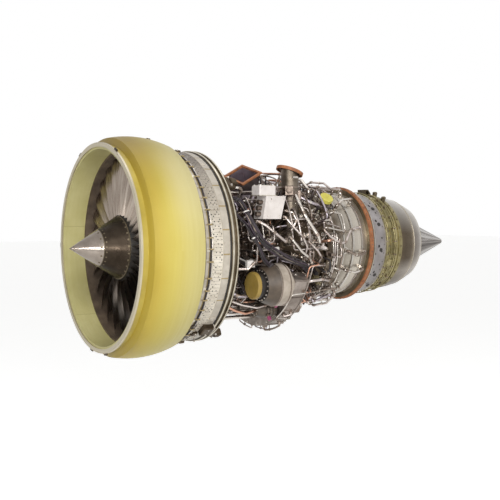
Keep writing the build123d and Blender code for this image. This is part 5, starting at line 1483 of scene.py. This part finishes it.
# Seeded pipes: their materials, then each network's name, pipes at most, stations, angles, tube radii,
# what it stands on and, where it stays in a layer over that, the layer's height
NETWORK_KINDS = ("pipe", "pipe", "pipe", "steel", "lilac", "dull_pipe", "copper", "black", "pipe",
                 "dull_pipe")
NETWORKS = (
    ("left_network", 90, (715, 1600), (-62, 84), (4.5, 5.0, 6.0, 7.0, 8.0), case_tree, None),
    ("gearbox_network", 34, (1050, 1290), (-150, -24), (4.5, 5.5, 6.5), solid_tree, 52),
    ("turbine_network", 26, (1470, 1618), (-62, 84), (4.5, 5.0, 6.0), case_tree, None),
    ("core_network", 130, (712, 1745), (84, 298), (5.0, 6.0, 6.5, 7.5, 8.5, 10.0), case_tree, None),
)
NETWORK_BEND = 24
NETWORK_CLAMP_GAP = 170
TRIES_PER_PIPE = 22
UNIT_TRIES = 2600
# Stations between which a seeded pipe may run, the last one where the photograph doesn't look
PIPES_FRONT, PIPES_REAR, PIPES_REAR_HIDDEN = 708, 1620, 1790


def drawn_stops(radius, stations, angles, ground, top):
    """Stops of a random route that runs along and around the core by turns."""
    station = chance.uniform(*stations)
    angle = chance.uniform(*angles)
    share = chance.random() ** 0.8
    stops = []
    runs = chance.choice((1, 2, 3, 3, 4))
    sideways = chance.random() < 0.5
    for _ in range(runs + 1):
        low = depth(ground, station, angle)
        high = low + top if top else hull_radius(station)
        stops.append((station, angle, low + 14 + radius + max(0, high - low - 34) * share))
        if sideways:
            angle += chance.choice((-1, 1)) * chance.uniform(9, 34)
            station += chance.uniform(-8, 8)
        else:
            station += chance.choice((-1, 1, 1)) * chance.uniform(40, 240)
            angle += chance.uniform(-3, 3)
        sideways = not sideways
    return stops


def fits(stops, radius, stations, angles, top):
    """True if a route stays on the core, off the moving pieces and clear of pipes and solids."""
    for station, angle, level in stops:
        rear = PIPES_REAR if math.cos(math.radians(angle)) > 0.3 else PIPES_REAR_HIDDEN
        if not PIPES_FRONT < station < rear or in_keep_out(station, angle, level):
            return False
        if top and not (stations[0] <= station <= stations[1] and angles[0] <= angle <= angles[1]):
            return False
    fine = dense(smooth_path(unrolled_path(stops), NETWORK_BEND))
    if any(in_keep_out(*polar(point)) for point in fine):
        return False
    return clear_of_solids(fine, radius) and not room.taken(fine, radius + 4, None)


def pipe_network(name, goal, stations, angles, radii, ground, top):
    """Seeded pipes in layers over a part of the core, each clear of the others and of the solids."""
    tubes = tubes_of(name, sorted(set(NETWORK_KINDS)))
    hardware, made = Piece(), 0
    for _ in range(goal * TRIES_PER_PIPE):
        if made >= goal:
            break
        kind = chance.choice(NETWORK_KINDS)
        radius = chance.choice(radii)
        stops = drawn_stops(radius, stations, angles, ground, top)
        if fits(stops, radius, stations, angles, top):
            path = run_pipe(tubes[kind], hardware, stops, radius, NETWORK_BEND, NETWORK_CLAMP_GAP, ground)
            room.take(dense(path), f"{name} {made}")
            made += 1
    make_used(tubes)
    hardware.make(name + "_clamps", "dull_pipe")


UNIT_KINDS = ("olive_unit", "dull_pipe", "pale_box", "dark_unit", "steel", "black", "taupe")


def round_unit(shape, base, angle, tall, wide):
    """A round sensor on a neck, with a connector on its side."""
    axis, side = outward(angle), around(angle)
    neck = tall * 0.35
    shape.lathe(base, axis, [(0, wide * 1.15), (6, wide * 1.15), (7, wide * 0.6), (neck, wide * 0.6),
                             (neck + 4, wide), (tall * 0.82, wide), (tall * 0.88, wide * 0.8),
                             (tall, wide * 0.5)], 18)
    shape.lathe(base + (axis * tall * 0.62 + side * wide * 0.9) * MM, side,
                [(0, wide * 0.5), (10, wide * 0.5), (11, wide * 0.62), (17, wide * 0.62)], 12)


def square_unit(shape, base, angle, tall, wide):
    """A valve block on a foot, with a hexagon cap."""
    axis, along = outward(angle), Vector((1, 0.2, 0.1))
    shape.block(base, axis, along, wide * 2.6, wide * 2.0, tall * 0.25, 2)
    shape.block(base + axis * tall * 0.24 * MM, axis, along, wide * 1.9, wide * 1.5, tall * 0.6, 3)
    cap, tip = wide * 0.5, wide * 0.3
    shape.lathe(base + axis * tall * 0.84 * MM, axis,
                [(0, cap), (tall * 0.1, cap), (tall * 0.12, tip), (tall * 0.16, tip)], 6)


def small_units():
    """Sensors, valves and junctions that stand on the casings between the pipes."""
    shapes = {kind: Piece() for kind in UNIT_KINDS}
    for _ in range(UNIT_TRIES):
        station, angle = chance.uniform(715, 1780), chance.uniform(0, 360)
        low = depth(case_tree, station, angle)
        if depth(solid_tree, station, angle) > low + 1:
            continue
        tall = min(hull_radius(station) - low - 6, chance.uniform(26, 120))
        wide = chance.uniform(11, 24)
        if tall < 18 or in_keep_out(station, angle, low + tall) or in_keep_out(station, angle, low + 10):
            continue
        axis = outward(angle)
        base = spot(station, angle, low - 2)
        core = [base + axis * (tall * k / 6) * MM for k in range(1, 7)]
        if room.taken(core, wide + 5, "unit") or not clear_of_solids(core[1:], wide + 4):
            continue
        shape = shapes[chance.choice(sorted(shapes))]
        make_unit = round_unit if chance.random() < 0.5 else square_unit
        make_unit(shape, base, angle, tall, wide)
        for k in range(4):
            a = TURN / 4 * k + 0.6
            place = base + (AFT * math.cos(a) + around(angle) * math.sin(a)) * wide * 1.05 * MM
            shapes["steel"].bolt(place + axis * 5 * MM, axis, 3.0, 3.0)
        room.take(core, "unit")
    for kind, shape in shapes.items():
        if shape.points:
            shape.make("units_" + kind, kind)


# Floor, lights and camera

WHITE = (255, 255, 255)
FLOOR_COLOUR = (236, 236, 234)
FLOOR_GLOW = 0.64
SURROUND_LIGHT = 0.3
# Metres: the floor's height and half its side, and each lamp's name, place, target, width, height and watts
FLOOR_LEVEL = -1.75
FLOOR_REACH = 60
LAMPS = (
    ("key_lamp", (-1.6, -4.8, 2.6), (0.9, 0, 0), 2.6, 1.8, 172),
    ("strip_lamp", (-0.6, -5.2, 0.7), (0.9, 0, 0.1), 4.5, 0.3, 90),
    ("nose_lamp", (-3.2, -3.9, 0.0), (0, 0, 0), 0.9, 0.4, 52),
    ("top_lamp", (1.4, 0.5, 4.5), (1.2, 0, 0), 4.0, 2.5, 45),
)

# The camera of the photograph, fitted to the rings of the fan case and the turbine: metres and degrees
CAMERA_PLACE = (-2.0691, -5.1200, 0.2000)
CAMERA_TURN = 31.698
CAMERA_PITCH = -2.2275
CAMERA_LENS = 64.54


def studio():
    """A pale floor, a white surround and soft lamps from the left front."""
    scene = bpy.context.scene
    s = Shader("studio_floor")
    glow = s.times(s.seen(), FLOOR_GLOW)
    s.finish(FLOOR_COLOUR, 0.0, 0.9, Emission_Color=WHITE, Emission_Strength=glow)
    mesh = bpy.data.meshes.new("floor")
    sides = ((-1, -1), (1, -1), (1, 1), (-1, 1))
    corners = [(x * FLOOR_REACH, y * FLOOR_REACH, FLOOR_LEVEL) for x, y in sides]
    mesh.from_pydata(corners, [], [(0, 1, 2, 3)])
    mesh.materials.append(s.material)
    floor = bpy.data.objects.new("floor", mesh)
    scene.collection.objects.link(floor)

    scene.world = bpy.data.worlds.new("surround")
    scene.world.use_nodes = True
    surround = Nodes(scene.world.node_tree)
    back = surround.tree.nodes["Background"].inputs
    surround.feed(back["Color"], WHITE)
    surround.feed(back["Strength"], surround.level(surround.seen(), 0.0, 1.0, SURROUND_LIGHT, 1.0))

    for name, place, target, width, height, power in LAMPS:
        data = bpy.data.lights.new(name, "AREA")
        data.shape = "RECTANGLE"
        data.size, data.size_y = width, height
        data.energy = power
        lamp = bpy.data.objects.new(name, data)
        lamp.location = place
        lamp.rotation_mode = "QUATERNION"
        lamp.rotation_quaternion = (Vector(target) - Vector(place)).to_track_quat("-Z", "Y")
        lamp.visible_camera = False
        scene.collection.objects.link(lamp)


def camera():
    """The photograph's camera."""
    scene = bpy.context.scene
    data = bpy.data.cameras.new("camera")
    data.sensor_width = 36
    data.lens = CAMERA_LENS
    data.clip_end = 200
    made = bpy.data.objects.new("camera", data)
    made.location = CAMERA_PLACE
    turn, pitch = math.radians(CAMERA_TURN), math.radians(CAMERA_PITCH)
    forward = Vector((math.sin(turn) * math.cos(pitch), math.cos(turn) * math.cos(pitch), math.sin(pitch)))
    made.rotation_mode = "QUATERNION"
    made.rotation_quaternion = forward.to_track_quat("-Z", "Y")
    scene.collection.objects.link(made)
    scene.camera = made
    scene.view_settings.view_transform = "Standard"


dress_nodes()
fan_case_rings()
ring_lugs()
frame_brackets()
fan_details()
core_bolts()
fuel_nozzle_details()
turbine_details()
accessory_details()
tank_details()
valve_details()
box_details()
core_routes()
left_pipes()
harness(HARNESS_STOPS, "left_harness", 7, 4.8, 16, 4.5)
harness(SIDE_STOPS, "side_harness", 4, 4.6, 10, 3.5)
for network in NETWORKS:
    pipe_network(*network)
small_units()
studio()
camera()
